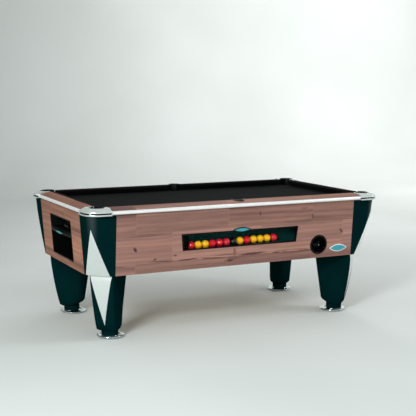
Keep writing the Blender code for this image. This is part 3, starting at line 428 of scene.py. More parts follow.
def walnut(name, axis, tones, marks, rings):
    made, tree, shader, place = new_finish(name, IOR=1.5, Specular_IOR_Level=0.01)
    flat, board, grain = planks(tree, place, axis)
    shaded, fibre, streak = wood(tree, board, grain, tones)
    dark = darkness(tree, flat, streak, marks, rings)
    marked = add(tree, "Mix", {"Factor": dark, "A": shaded}, data_type="RGBA", B=hex_colour(MARK_COLOUR))
    tree.links.new(marked.outputs["Result"], shader.inputs["Base Color"])
    drive(shader, fibre, haze=(0.38, 0.50), relief=(0.08, 0.0005))
    return made


# Walnut laminate, printed and satin: one for boards along the table, one for boards across it
WALNUT_LONG = walnut("walnut_laminate_long", "X", ("#735550", "#8d6960", "#a07768"), FRONT_MARKS,
                     FRONT_RINGS)
WALNUT_END = walnut("walnut_laminate_end", "Y", ("#7c564b", "#936a59", "#a67562"), END_MARKS,
                    END_RINGS)
print("marks drawn:", len(FRONT_MARKS + FRONT_RINGS), "long,", len(END_MARKS + END_RINGS), "across")

# %% [markdown]
# ## Lacquer, silver facing and plastics
# Posts and legs are moulded and sprayed a green so dark that it reads as black until light grazes it.
# The spray dries with a fine orange peel, a ripple of a millimetre or two that breaks up reflections,
# and hands have rubbed the round upper corners of the posts to a gloss. The silver facings are a thin
# metal laminate, brushed along its height. Black plastics are moulded in an eroded tool, so they have a
# fine grain. A bump of the right size does all of these: real displacement would cost far more faces.
# Where the real pattern is finer than a pixel, it is drawn as coarse as it needs to be to show.

# %% Green-black lacquer, sprayed
SPRAY_MM = 200
PEEL_MM = 2.0
RUBBED_FROM = (1.006, 0.534, 0.0)
RUBBED_REACH = (-0.014, 0.034)
LACQUER, tree, shader, place = new_finish("sprayed_green_black_lacquer", IOR=1.5)
broad = add(tree, "TexNoise", {"Vector": place}, Scale=PER_METRE / SPRAY_MM, Detail=3.0)
drive(shader, broad, [(0.3, "#021b1d"), (0.7, "#032122")], haze=(0.40, 0.50))
peel = add(tree, "TexNoise", {"Vector": place}, Scale=PER_METRE / PEEL_MM, Detail=2.0)
drive(shader, peel, relief=(0.06, 0.0004))
size = add(tree, "VectorMath", {0: place}, operation="ABSOLUTE")
past = add(tree, "VectorMath", {0: size}, fixed={1: RUBBED_FROM}, operation="SUBTRACT")
past = add(tree, "SeparateXYZ", {"Vector": past})
both = add(tree, "Math", {0: (past, "X"), 1: (past, "Y")}, operation="MINIMUM")
add(tree, "MapRange", {"Value": both}, (shader, "Specular IOR Level"),
    From_Min=RUBBED_REACH[0], From_Max=RUBBED_REACH[1], To_Min=0.0, To_Max=0.55,
    interpolation_type="SMOOTHSTEP")
print(LACQUER.name, "with a peel of", PEEL_MM, "mm")

# %% Silver laminate, brushed upright
# Brush lines are drawn coarser than the real hairlines, so that they show
BRUSH_MM = 1.2
SILVER, tree, shader, place = new_finish("brushed_silver_laminate", Metallic=0.75)
upright = add(tree, "Mapping", {"Vector": place}, Scale=(1.0, 1.0, 0.03))
hairs = add(tree, "TexNoise", {"Vector": upright}, Scale=PER_METRE / BRUSH_MM, Detail=3.0)
drive(shader, hairs, [(0.25, "#d6dddb"), (0.75, "#e9eeec")], haze=(0.34, 0.48))
print(SILVER.name, "with brush lines of", BRUSH_MM, "mm")

# %% Plastics: grained for housings, smooth for rims and pocket lips
# The moulded grain is drawn coarser than the real one, so that it shows
GRAIN_MM = 0.9
SCUFF_MM = 35.7


def plastic(name, low, high, rough, shine, strength):
    made, tree, shader, place = new_finish(name, IOR=1.5, Specular_IOR_Level=shine)
    spark = add(tree, "TexNoise", {"Vector": place}, Scale=PER_METRE / GRAIN_MM, Detail=3.0)
    scuff = add(tree, "TexNoise", {"Vector": place}, Scale=PER_METRE / SCUFF_MM, Detail=5.0,
                Roughness=0.7)
    drive(shader, scuff, [(0.35, low), (0.8, high)], haze=(rough * 0.8, rough * 1.3))
    drive(shader, spark, relief=(strength, 0.0003))
    return made


TRAY_GREEN = plastic("moulded_abs_green_black", "#063331", "#093b38", 0.45, 0.03, 0.20)
HOUSING_BLACK = plastic("moulded_abs_black", "#020404", "#060909", 0.45, 0.08, 0.25)
GLOSS_BLACK = plastic("polished_abs_black", "#010202", "#020303", 0.07, 0.13, 0.01)
POCKET_RUBBER = plastic("moulded_rubber_black", "#020304", "#060809", 0.15, 0.50, 0.03)
print("plastics:", [made.name for made in (TRAY_GREEN, HOUSING_BLACK, GLOSS_BLACK, POCKET_RUBBER)])

# %% [markdown]
# ## Metals
# The trim is an extruded aluminium strip and the corners are castings, both polished until they look
# almost white under a pale ceiling; a clear film on the trim spreads some light. Feet are chromed steel,
# the coin slide is black zinc. A metal's colour comes from what it reflects, so only roughness and a
# faint unevenness are painted, and the index of refraction is left alone.

# %% Polished aluminium, chrome and zinc
# Polishing lines are drawn coarser than the real ones, so that they show
POLISH_MM = 0.8
SMEAR_MM = 71.4
EVEN = (1.0, 1.0, 1.0)


def metal(name, low, high, rough_low, rough_high, stretch, bare=1.0):
    made, tree, shader, place = new_finish(name, Metallic=bare)
    drawn = add(tree, "Mapping", {"Vector": place}, Scale=stretch)
    lines = add(tree, "TexNoise", {"Vector": drawn}, Scale=PER_METRE / POLISH_MM, Detail=4.0)
    smear = add(tree, "TexNoise", {"Vector": place}, Scale=PER_METRE / SMEAR_MM, Detail=4.0)
    drive(shader, smear, [(0.3, low), (0.7, high)])
    blend = add(tree, "Mix", {"A": lines, "B": smear}, Factor=0.5)
    add(tree, "MapRange", {"Value": blend}, (shader, "Roughness"), From_Min=0.3, From_Max=0.7,
        To_Min=rough_low, To_Max=rough_high)
    return made


ALUMINIUM = metal("polished_extruded_aluminium", "#eff1ef", "#f4f5f4", 0.27, 0.31,
                  (0.02, 0.02, 1.0), 0.5)
CASTING = metal("polished_cast_aluminium", "#dfe6e3", "#e2e9e6", 0.25, 0.26, EVEN, 0.8)
CHROME = metal("chromed_steel", "#b4bebf", "#c4cccd", 0.11, 0.17, EVEN)
ZINC = metal("black_zinc_plated_steel", "#0b0c0d", "#131516", 0.40, 0.52, (0.08, 1.0, 1.0))
print("metals:", [made.name for made in (ALUMINIUM, CASTING, CHROME, ZINC)])

# %% [markdown]
# ## Cloth, slate, plywood and acrylic
# The bed and the cushions are dressed in the same black wool, woven, then teased into a short nap. Seen
# from the side the nap lifts light as a faint grey bloom, which is what sheen is for. Slate and plywood
# are hardly seen, but the pockets and the open end give a view of them: slate is honed to a matt grey,
# and sawn plywood shows its plies. The pane is cast acrylic, so clear that only a faint green and a
# thin veil of dust give it away.

# %% Napped wool, slate, plywood, acrylic
# Threads are drawn coarser than the real ones, so that they show
THREAD_MM = 1.6
FELT_MM = 111
WOOL, tree, shader, place = new_finish(
    "napped_wool_black", Roughness=0.92, Sheen_Weight=0.026, Sheen_Roughness=0.45,
    Sheen_Tint=hex_colour("#8f9294"), IOR=1.35, Specular_IOR_Level=0.05)
nap = add(tree, "TexNoise", {"Vector": place}, Scale=PER_METRE / THREAD_MM, Detail=4.0, Roughness=0.7)
felt = add(tree, "TexNoise", {"Vector": place}, Scale=PER_METRE / FELT_MM, Detail=5.0, Roughness=0.6)
blend = add(tree, "Mix", {"A": felt, "B": nap}, Factor=0.45)
drive(shader, blend, [(0.3, "#050506"), (0.7, "#0c0c0d")])
drive(shader, nap, relief=(0.35, 0.0005))

CLEFT_MM = 25
SLATE, tree, shader, place = new_finish("honed_slate", Roughness=0.7)
cleft = add(tree, "TexNoise", {"Vector": place}, Scale=PER_METRE / CLEFT_MM, Detail=6.0)
drive(shader, cleft, [(0.3, "#3d4245"), (0.7, "#545a5d")], relief=(0.2, 0.0005))

# Plies are drawn some six times thicker than the real ones, so that they show
PLY_MM = 10.05
VENEER_MM = 16.7
PLYWOOD, tree, shader, place = new_finish("birch_plywood", Roughness=0.6)
sheets = add(tree, "TexWave", {"Vector": place}, bands_direction="Z",
             Scale=WAVE_BAND * PER_METRE / PLY_MM, Distortion=0.6, Detail=2.0)
veneer = add(tree, "TexNoise", {"Vector": place}, Scale=PER_METRE / VENEER_MM, Detail=5.0,
             Distortion=2.0)
blend = add(tree, "Mix", {"A": (sheets, "Fac"), "B": veneer}, Factor=0.6)
drive(shader, blend, [(0.2, "#8f6f47"), (0.8, "#c3a377")])

DUST_MM = 14.3
ACRYLIC, tree, shader, place = new_finish("clear_cast_acrylic", IOR=1.49, Alpha=0.05,
                                          Specular_IOR_Level=0.2, Base_Color=hex_colour("#04201e"))
dust = add(tree, "TexNoise", {"Vector": place}, Scale=PER_METRE / DUST_MM, Detail=6.0)
add(tree, "MapRange", {"Value": dust}, (shader, "Roughness"), From_Min=0.4, From_Max=0.8, To_Min=0.02,
    To_Max=0.06)
print("cloth, stone, wood and pane:", [made.name for made in (WOOL, SLATE, PLYWOOD, ACRYLIC)])

# %% [markdown]
# ## Balls and enamel
# Balls are cast phenolic resin, ground and polished: a deep colour under a hard clear gloss. The small
# oval plates are plain enamelled metal in turquoise. A faint marbling keeps both from looking like a
# computer's perfect paint.

# %% Phenolic resin and turquoise enamel
MARBLE_MM = 22.2
WASH_MM = 41.7


def resin(name, low, high):
    made, tree, shader, place = new_finish(name, IOR=1.5, Coat_Weight=0.15, Coat_Roughness=0.03)
    cast = add(tree, "TexNoise", {"Vector": place}, Scale=PER_METRE / MARBLE_MM, Detail=3.0,
               Distortion=0.8)
    drive(shader, cast, [(0.35, low), (0.65, high)], haze=(0.04, 0.12))
    return made


RED_RESIN = resin("phenolic_resin_red", "#cf0f20", "#e3182e")
YELLOW_RESIN = resin("phenolic_resin_yellow", "#ffb400", "#ffca10")
BLACK_RESIN = resin("phenolic_resin_black", "#020203", "#050506")
WHITE_RESIN = resin("phenolic_resin_white", "#efece2", "#f7f5ee")

ENAMEL, tree, shader, place = new_finish("turquoise_enamel", Roughness=0.2, IOR=1.5, Coat_Weight=0.3)
wash = add(tree, "TexNoise", {"Vector": place}, Scale=PER_METRE / WASH_MM, Detail=3.0,
           Distortion=0.5)
drive(shader, wash, [(0.3, "#178696"), (0.7, "#3a9eaa")])
print("resins:", [made.name for made in (RED_RESIN, YELLOW_RESIN, BLACK_RESIN, WHITE_RESIN)])

# %% [markdown]
# ## Cabinet boards
# The four aprons lean in towards the floor. Their shape in CAD is right, so the boards are copied and
# only their edges change: a laminated board has its edge eased with a cutter, and that thin round edge
# shows in the photograph as a pale line. A bevel of a few millimetres gives it. Bare inner pieces get
# their own finishes.

# %% Aprons, rails and inner boards
BOARD_EDGE = 0.0025
RAIL_EDGE = BOARD_EDGE / 2
SAWN_EDGE = 0.001
SLATE_EDGE = 0.002
for side in ("front", "back"):
    dress(f"apron_{side}", WALNUT_LONG, "walnut_laminate", BOARD_EDGE)
    for half in ("left", "right"):
        dress(f"rail_{side}_{half}", WALNUT_LONG, "walnut_laminate", RAIL_EDGE)
for side in ("left", "right"):
    dress(f"apron_{side}", WALNUT_END, "walnut_laminate", BOARD_EDGE)
    dress(f"rail_{side}_end", WALNUT_END, "walnut_laminate", RAIL_EDGE)
dress("cabinet_floor", PLYWOOD, "plywood", SAWN_EDGE)
dress("return_run", PLYWOOD, "plywood", SAWN_EDGE)
dress("slate_bed", SLATE, "slate", SLATE_EDGE)

# %% [markdown]
# ## Corner posts and legs
# Each post is a moulded shell: fully round at the top, and lower down a flat facet grows out of the
# round until it meets the leg's flat face. The moulded leg swells towards the corner and back, and its
# heel and toe are drawn in above the foot; the CAD leg is straight, so it is sliced and the slices are
# moved.

# %% Posts and legs
LEG_SLICES = 14
LEG_SPREAD = 0.15
LEG_CORE = 0.025
LEG_PROUD = 0.005
LEG_BELLY = 0.020
LEG_BACK = 0.018
LEG_BACK_IN = 0.012
LEG_TOE = 0.010
LEG_TOE_IN = 0.16
LEG_HEEL = 0.040
LEG_HEEL_IN = 0.42


def leg_mesh(corner):
    """The CAD leg in slices: each moves out from the foot's axis, and across it."""
    bm = cad_copy(f"leg_{corner}")
    low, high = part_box(f"leg_{corner}")
    axis, out = middle(f"foot_{corner}"), outward(corner)
    across = Vector((-out.y, out.x, 0))
    cuts = [low.z + LEG_TOE, low.z + LEG_HEEL]
    cuts += [low.z + (high.z - low.z) * i / LEG_SLICES for i in range(2, LEG_SLICES)]
    for z in cuts:
        bmesh.ops.bisect_plane(bm, geom=bm.verts[:] + bm.edges[:] + bm.faces[:], plane_no=(0, 0, 1),
                               plane_co=(0, 0, z))
    for vert in bm.verts:
        down = min(max((high.z - vert.co.z) / (high.z - low.z), 0), 1)
        reach, side = (vert.co - axis).dot(out), (vert.co - axis).dot(across)
        outer = min(max(abs(reach) / LEG_CORE - 1, 0), 1)
        toe = LEG_TOE_IN * max(1 - (vert.co.z - low.z) / LEG_TOE, 0)
        shift = side * (LEG_SPREAD * down ** 1.5 - toe)
        if reach > 0:
            round_out = math.sqrt(abs(math.sin(math.pi * down)))
            move = outer * (LEG_PROUD + (LEG_BELLY - LEG_PROUD) * round_out) - toe * reach
        else:
            heel = LEG_HEEL_IN * max(1 - (vert.co.z - low.z) / LEG_HEEL, 0)
            move = -outer * LEG_BACK * (1 - down / 2) - heel * reach
            shift -= math.copysign(min(outer * LEG_BACK_IN, abs(side)), side)
        vert.co += across * shift + out * move
    return bm


for corner in CORNERS:
    dress(f"post_{corner}", LACQUER, "green_black_lacquer", 0.0)
    made = make_piece(f"leg_{corner}_moulded", leg_mesh(corner), LACQUER, "green_black_lacquer",
                      nodes=[f"leg_{corner}"])
print("posts and legs: 4 of each, faces in a leg:", len(made.data.polygons))

# %% [markdown]
# ## Silver facings
# The facings are thin sheets on the flats of post and leg, one pointing up and one pointing down, so
# that together they make a kite. A facing could be modelled flat and pushed in place, but the flats
# swell. So a fine triangle of points is laid out in front of the corner and each point is dropped onto
# the surface along the diagonal, which makes the sheet follow it exactly.

# %% Facings dropped onto posts and legs
FACING_THICK = 0.0008
FACING_LIFT = 0.0003
FACING_ROWS = 24
FACING_COLUMNS = 8
FACING_MARGIN = 0.0012
FACING_TIP = 0.004
POST_FACING_APEX = 0.728
POST_FACING_HALF = 0.0815
LEG_FACING_APEX = 0.092
LEG_FACING_HALF = 0.0745
FAR_OUT = 2.0


def facing(name, solid, axis, out, apex, base, half):
    """A triangle of silver sheet on a solid's outer face, from its apex to its base."""
    bm = bmesh.new()
    bmesh.ops.create_grid(bm, x_segments=FACING_COLUMNS, y_segments=FACING_ROWS, size=1.0)
    surface = BVHTree.FromBMesh(solid)
    across = Vector((-out.y, out.x, 0))
    line = axis - out * axis.dot(out)
    for vert in bm.verts:
        down = (vert.co.y + 1) / 2
        start = line + across * (vert.co.x * half * max(down, FACING_TIP)) + out * FAR_OUT
        start.z = apex + (base - apex) * down
        point, normal = surface.ray_cast(start, -out)[:2]
        vert.co = point + normal * FACING_LIFT
    bmesh.ops.recalc_face_normals(bm, faces=bm.faces)
    if sum((f.normal for f in bm.faces), Vector()).dot(out) < 0:
        bmesh.ops.reverse_faces(bm, faces=bm.faces)
    # A negative thickness leaves the shell inside out, so all its faces are turned round
    bmesh.ops.solidify(bm, geom=bm.faces, thickness=-FACING_THICK)
    bmesh.ops.reverse_faces(bm, faces=bm.faces)
    make_piece(name, bm, SILVER, "polished_aluminium")


for corner, (sx, sy) in CORNERS.items():
    low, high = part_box(f"post_{corner}")
    ridge = Vector((high.x if sx > 0 else low.x, high.y if sy > 0 else low.y, 0))
    facing(f"post_facing_{corner}", cad_copy(f"post_{corner}"), ridge, outward(corner),
           POST_FACING_APEX, low.z + FACING_MARGIN, POST_FACING_HALF)
    leg_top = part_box(f"leg_{corner}")[1].z
    facing(f"leg_facing_{corner}", leg_mesh(corner), middle(f"foot_{corner}"), outward(corner),
           LEG_FACING_APEX, leg_top - FACING_MARGIN, LEG_FACING_HALF)

# %% [markdown]
# ## Levelling feet
# A foot is turned: a wide chromed dish with a rolled rim, a neck that hides the screw, and the screw
# itself. Only the dish is chromed; the neck is lacquered like the leg, so its faces get the second
# finish, and it leans out with the leg. Turned things are one outline spun about an axis. The outline
# below takes its sizes from the CAD foot's box, with steps so fine that the rim's reflections run
# smooth.

# %% Spin an outline about an upright axis
SPIN_STEPS = 96
SPIN_MERGE = 0.000005


def spun(outline):
    """Spin (radius, height) points about Z; points on the axis are merged into one."""
    bm = bmesh.new()
    verts = [bm.verts.new((r, 0, z)) for r, z in outline]
    edges = [bm.edges.new(pair) for pair in zip(verts, verts[1:])]
    bmesh.ops.spin(bm, geom=verts + edges, cent=(0, 0, 0), axis=(0, 0, 1), angle=2 * math.pi,
                   steps=SPIN_STEPS, use_merge=True)
    bmesh.ops.remove_doubles(bm, verts=bm.verts, dist=SPIN_MERGE)
    bmesh.ops.recalc_face_normals(bm, faces=bm.faces)
    return bm


def arc(centre, width, height, start, end, steps):
    """Points of a round or oval stretch of an outline: half width, half height, then degrees."""
    turns = [math.radians(start + (end - start) * i / steps) for i in range(steps + 1)]
    return [(centre[0] + width * math.cos(a), centre[1] + height * math.sin(a)) for a in turns]


# %% Turn the four feet
FOOT_NECK = 0.054
NECK_SHIFT = 0.013
NECK_FROM = 0.022
NECK_GAP = 0.0003
NECK_EASE = 0.002
STEM = 0.014
STEM_EASE = 0.001
DISH_VALLEY = 0.0125
DISH_ROUND = 0.005
DISH_TUCK = 0.014
RIM_WIDTH = 0.015
RIM_RISE = 0.0075
RIM_MIDDLE = 0.0110
for corner in CORNERS:
    node = f"foot_{corner}"
    low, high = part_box(node)
    radius = (high.x - low.x) / 2
    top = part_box(f"leg_{corner}")[0].z - NECK_GAP
    outline = [(0, high.z), (STEM - STEM_EASE, high.z), (STEM, high.z - STEM_EASE), (STEM, top)]
    outline += arc((FOOT_NECK - NECK_EASE, top - NECK_EASE), NECK_EASE, NECK_EASE, 90, 0, 4)
    outline += arc((FOOT_NECK + DISH_ROUND, DISH_VALLEY + DISH_ROUND), DISH_ROUND, DISH_ROUND, 180,
                   262, 8)
    outline += arc((radius - RIM_WIDTH, RIM_MIDDLE), RIM_WIDTH, RIM_RISE, 160, -40, 24)
    outline += [(radius - DISH_TUCK, low.z + NECK_EASE), (radius - DISH_TUCK - NECK_EASE, low.z),
                (0, low.z)]
    bm = spun(outline)
    for vert in bm.verts:
        if vert.co.z > DISH_VALLEY and vert.co.xy.length > 2 * STEM:
            lean = min((vert.co.z - DISH_VALLEY) / DISH_ROUND, 1)
            vert.co += outward(corner) * NECK_SHIFT * lean
    bmesh.ops.translate(bm, vec=((low.x + high.x) / 2, (low.y + high.y) / 2, 0), verts=bm.verts)
    neck = [i for i, f in enumerate(bm.faces) if f.calc_center_median().z > NECK_FROM]
    made = make_piece(f"levelling_foot_{corner}", bm, CHROME, "chrome_foot", node, [node])
    refinish(made, LACQUER, neck)
print("foot across:", round(2 * radius, 4), "m")

# %% [markdown]
# ## Cutting one mesh with another
# Mouths and round cut-outs are easiest to think of as one solid taken away from another. A Boolean
# modifier does that, but it belongs to an object. The helper below lends two bmeshes a pair of
# short-lived objects, reads the cut mesh back, and removes both again.

# %% Tools and cuts
CUT_STEPS = 96


def block(low, high):
    """A box between two corners."""
    bm = bmesh.new()
    bmesh.ops.create_cube(bm, size=1.0)
    bmesh.ops.scale(bm, vec=Vector(high) - Vector(low), verts=bm.verts)
    bmesh.ops.translate(bm, vec=(Vector(low) + Vector(high)) / 2, verts=bm.verts)
    return bm


def drum(centre, radius, low, high):
    """An upright cylinder between two heights."""
    bm = bmesh.new()
    bmesh.ops.create_cone(bm, cap_ends=True, segments=CUT_STEPS, radius1=radius, radius2=radius,
                          depth=high - low)
    bmesh.ops.translate(bm, vec=(centre.x, centre.y, (low + high) / 2), verts=bm.verts)
    return bm


def carve(bm, tool):
    """Cut one closed bmesh with another; both are used up and a new bmesh comes back."""
    pair = [to_object("cut", solid) for solid in (bm, tool)]
    step = pair[0].modifiers.new("cut", "BOOLEAN")
    step.operation, step.object = "DIFFERENCE", pair[1]
    bpy.context.view_layer.update()
    result = bmesh.new()
    result.from_object(pair[0], bpy.context.evaluated_depsgraph_get())
    for item in pair:
        bpy.data.objects.remove(item, do_unlink=True)
    return result


# %% [markdown]
# ## Corner castings and trim
# A casting wraps each corner: a flat top plate round the pocket, and below it a band that carries on
# the line of the trim. Between them runs a groove, broken by a web at the corner itself. The CAD casting
# has all of that, so it is copied. What it lacks is the hand of the polisher: no edge of a polished
# casting is sharp, and rounded edges are what draw its bright lines. The groove's faces get a second,
# black finish: painted shade, so that the groove reads as a dark line.

# %% Castings and the four lengths of trim
CASTING_EDGE = 0.0012
CASTING_SMOOTH = math.radians(14)
FRAME_ROUND = 0.070
GROOVE_LOW, GROOVE_HIGH = 0.8208, 0.8305
GROOVE_INSET = 0.003
WEB_TURN = 0.15
FRAME_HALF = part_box("casting_back_right")[1]


def in_groove(at):
    """Whether a point lies back in the groove, and not on the web at the corner itself."""
    x, y = abs(at.x) - FRAME_HALF.x + FRAME_ROUND, abs(at.y) - FRAME_HALF.y + FRAME_ROUND
    deep = FRAME_ROUND - math.hypot(max(x, 0), max(y, 0)) - min(max(x, y), 0)
    return deep > GROOVE_INSET and abs(math.atan2(y, x) - math.pi / 4) > WEB_TURN


for corner in CORNERS:
    casting = dress(f"casting_{corner}", CASTING, "polished_aluminium", CASTING_EDGE)
    casting.data.set_sharp_from_angle(angle=CASTING_SMOOTH)
    # Painted shade: the faces back in the groove, away from the web, are given black
    groove = []
    for face in casting.data.polygons:
        heights = [casting.data.vertices[i].co.z for i in face.vertices]
        if GROOVE_LOW < min(heights) and max(heights) < GROOVE_HIGH and in_groove(face.center):
            groove.append(face.index)
    refinish(casting, HOUSING_BLACK, groove)
for side in ("front", "back", "left", "right"):
    dress(f"trim_{side}", ALUMINIUM, "polished_aluminium", 0.0)
print("castings:", len(CORNERS), "faces in the last:", len(casting.data.polygons))

# %% [markdown]
# ## Pocket liners
# A liner is a moulded rubber ring: a straight wall that catches the ball and a fat rolled lip that lies
# over the rail. On the table's side its wall is cut away to let the ball in. It is turned from one
# outline, like a foot, and the mouth is then carved out of it.

# %% Turn and cut the six liners
POCKETS = [*CORNERS, "front_middle", "back_middle"]
LINER_WALL = 0.006
LINER_EDGE = 0.0012
LIP_OVERHANG = 0.002
LIP_HEIGHT = 0.0045
LIP_DROP = 0.0040
MOUTH_HALF = 0.040
MIDDLE_MOUTH_BACK = 0.008
CLOTH_THICK = 0.0012
BED_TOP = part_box("bed_cloth")[1].z


def liner(node):
    """A liner turned in its pocket's place, with its radius."""
    low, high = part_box(node)
    radius = (high.x - low.x) / 2
    inner, brim = radius - LINER_WALL, radius + LIP_OVERHANG
    seat = high.z - LIP_DROP - LIP_HEIGHT
    outline = arc(((inner + brim) / 2, seat), (brim - inner) / 2, LIP_HEIGHT, 180, 0, 12)
    bm = spun(outline + [(radius, seat), (radius, low.z), (inner, low.z), outline[0]])
    bmesh.ops.translate(bm, vec=(*middle(node).xy, 0), verts=bm.verts)
    return bm, radius


for name in POCKETS:
    node = f"pocket_{name}"
    bm, radius = liner(node)
    x, y = middle(node).xy
    bottom, top = BED_TOP - CLOTH_THICK, BED_TOP + 2 * MOUTH_HALF
    if name in CORNERS:
        mouth = block((0, -MOUTH_HALF, bottom), (2 * radius, MOUTH_HALF, top))
        way = math.atan2(-CORNERS[name][1], -CORNERS[name][0])
    else:
        mouth = block((MIDDLE_MOUTH_BACK, -2 * radius, bottom), (2 * radius, 2 * radius, top))
        way = math.copysign(math.pi / 2, -y)
    turn = Matrix.Translation((x, y, 0)) @ Matrix.Rotation(way, 4, "Z")
    bmesh.ops.transform(mouth, matrix=turn, verts=mouth.verts)
    made = make_piece(f"pocket_liner_{name}", carve(bm, mouth), POCKET_RUBBER, "pocket_rubber",
                      nodes=[node])
    soften(made, LINER_EDGE)
print("liners:", len(POCKETS), "inner radius of the last", round(radius - LINER_WALL, 4), "m")

# %% [markdown]
# ## Cushions
# A cushion is a strip of rubber under tight wool. In section its nose stands out about two thirds of
# the way up a ball, and its face runs back under the nose. Towards a pocket the strip turns away in a
# quarter round, longer at a corner, and the cloth is folded over the end in small pleats. The section
# is drawn once as a rounded profile, repeated as closed rings from foot to crown, and the rings are
# bridged.

# %% Rings of a cushion
RAIL_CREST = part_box("rail_front_left")[1].z
CUSHION_DEPTH = 0.045
CUSHION_FOOT = 0.018
CUSHION_CROWN = 0.020
CUSHION_SMOOTH = math.radians(50)
NOSE_HEIGHT = 0.0335
NOSE_ROUND = 0.0042
NOSE_UNDER = (0.87, -0.5)
FACE_STEPS = 5
END_STEPS = 18
LONG_STEPS = 40
SECTION_STEPS = 7
PLEAT_DEPTH = 0.0006
PLEATS = 5
SEAT_GAP = 0.0003
CORNER_JAW = 0.070
MIDDLE_JAW = 0.045


def between(a, b, part):
    return a + (b - a) * part


def cushion_section():
    """(depth, height) pairs from the foot, round the nose, to the crown."""
    nose = (CUSHION_DEPTH - NOSE_ROUND, NOSE_HEIGHT)
    under = [nose[i] + NOSE_ROUND * NOSE_UNDER[i] for i in (0, 1)]
    crown = RAIL_CREST - BED_TOP - SEAT_GAP
    parts = [i / FACE_STEPS for i in range(FACE_STEPS + 1)]
    section = [(between(CUSHION_FOOT, under[0], t), between(SEAT_GAP, under[1], t)) for t in parts[:-1]]
    section += arc(nose, NOSE_ROUND, NOSE_ROUND, -30, 62, SECTION_STEPS)
    depth, height = section[-1]
    return section + [(between(depth, CUSHION_CROWN, t),
                       between(height, crown, math.sin(t * math.pi / 2))) for t in parts[1:]]


def cushion_end(depth, jaw):
    """(inset, depth) points of one pleated end, from the rail round to the straight nose line."""
    points = []
    for i in range(END_STEPS + 1):
        angle = math.pi / 2 * i / END_STEPS
        pleat = PLEAT_DEPTH * math.sin(2 * angle) * (1 + math.cos(2 * PLEATS * angle))
        points.append((jaw * (1 - math.cos(angle)) + pleat, depth * math.sin(angle)))
    return points


def cushion_ring(depth, start, start_jaw, end, end_jaw):
    """Plan of one level: (along, depth) points, straight nose line and rounded ends."""
    last = [(end - inset, d) for inset, d in cushion_end(depth, end_jaw)]
    first = [(start + inset, d) for inset, d in cushion_end(depth, start_jaw)]
    nose = [(between(last[-1][0], first[-1][0], i / LONG_STEPS), depth) for i in range(1, LONG_STEPS)]
    return last + nose + first[::-1]


def cushion(node, start, start_jaw, end, end_jaw, place):
    """Bridge the rings of one cushion; place turns (along, depth, height) into a point."""
    bm = bmesh.new()
    rings = []
    for depth, height in cushion_section():
        plan = cushion_ring(depth, start, start_jaw, end, end_jaw)
        verts = [bm.verts.new(place(along, d, BED_TOP + height)) for along, d in plan]
        rings.append([bm.edges.new(pair) for pair in zip(verts, verts[1:] + verts[:1])])
    for low, high in zip(rings, rings[1:]):
        bmesh.ops.bridge_loops(bm, edges=low + high)
    bmesh.ops.holes_fill(bm, edges=rings[0] + rings[-1], sides=0)
    bmesh.ops.recalc_face_normals(bm, faces=bm.faces)
    made = make_piece(f"padded_{node}", bm, WOOL, "cushion_cloth", nodes=[node], smooth=CUSHION_SMOOTH)


# %% Six cushions along the rails
for corner, (sx, sy) in CORNERS.items():
    low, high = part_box(f"cushion_{corner}")
    near, far = sorted((abs(low.x), abs(high.x)))
    line = max(abs(low.y), abs(high.y))
    cushion(f"cushion_{corner}", near, MIDDLE_JAW, far, CORNER_JAW,
            lambda along, d, z: (sx * along, sy * (line - d), z))
for side, sx in (("left", -1), ("right", 1)):
    node = f"cushion_{side}_end"
    low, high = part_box(node)
    line = max(abs(low.x), abs(high.x))
    cushion(node, low.y, CORNER_JAW, high.y, CORNER_JAW,
            lambda along, d, z: (sx * (line - d), along, z))
print("cushion nose stands", NOSE_HEIGHT, "m above the bed")

# %% [markdown]
# ## Bed cloth
# The bed cloth is one piece of wool pulled over the slate and fixed under its edges, with a round
# cut-out at each pocket. It is stretched tight, so a simulation would only give back the flat sheet. It
# is a thin slab cut by six cylinders.

# %% Cloth with six pocket cut-outs
POCKET_CUT_GAP = 0.0003
bm = cad_copy("bed_cloth")
low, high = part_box("bed_cloth")
for name in POCKETS:
    low_p, high_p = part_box(f"pocket_{name}")
    radius = (high_p.x - low_p.x) / 2 + POCKET_CUT_GAP
    bm = carve(bm, drum((low_p + high_p) / 2, radius, low.z - radius, high.z + radius))
cloth_area = max(f.calc_area() for f in bm.faces)
cloth = make_piece("stretched_bed_cloth", bm, WOOL, "bed_cloth", nodes=["bed_cloth"])

# %% [markdown]
# ## Viewing window and waiting balls
# Balls that have been pocketed roll into a tray behind a clear pane and wait there for the next coin.
# The frame, pane and tray have the right shape in CAD, so they only get finishes and eased edges. The
# balls are made new: a sphere whose pole is turned where a spot may sit, so that the spot's edge follows
# a ring of faces. They lie in the order of the photograph, one pitch apart along the sloping tray.

# %% Frame, pane and tray, each with the radius of its edges
dress("window_frame", GLOSS_BLACK, "black_plastic", 0.0012)
dress("window_pane", ACRYLIC, "clear_acrylic", 0.0006)
dress("ball_tray", TRAY_GREEN, "black_plastic", 0.0010)
low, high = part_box("window_pane")
print("pane:", round(high.x - low.x, 3), "m long,", round(high.z - low.z, 3), "m high")

# %% Thirteen balls in the tray
BALL_ORDER = "RYYRRRBYRYYYR"
CAD_BALLS = 6
BALL_RINGS = 48
SPOT_ANGLE = math.radians(15)
SPOT_WAY = Vector((0.72, -0.62, -0.30))
UP = Vector((0, 0, 1))
RESINS = {"R": (RED_RESIN, "ball_red"), "Y": (YELLOW_RESIN, "ball_yellow"),
          "B": (BLACK_RESIN, "ball_black")}


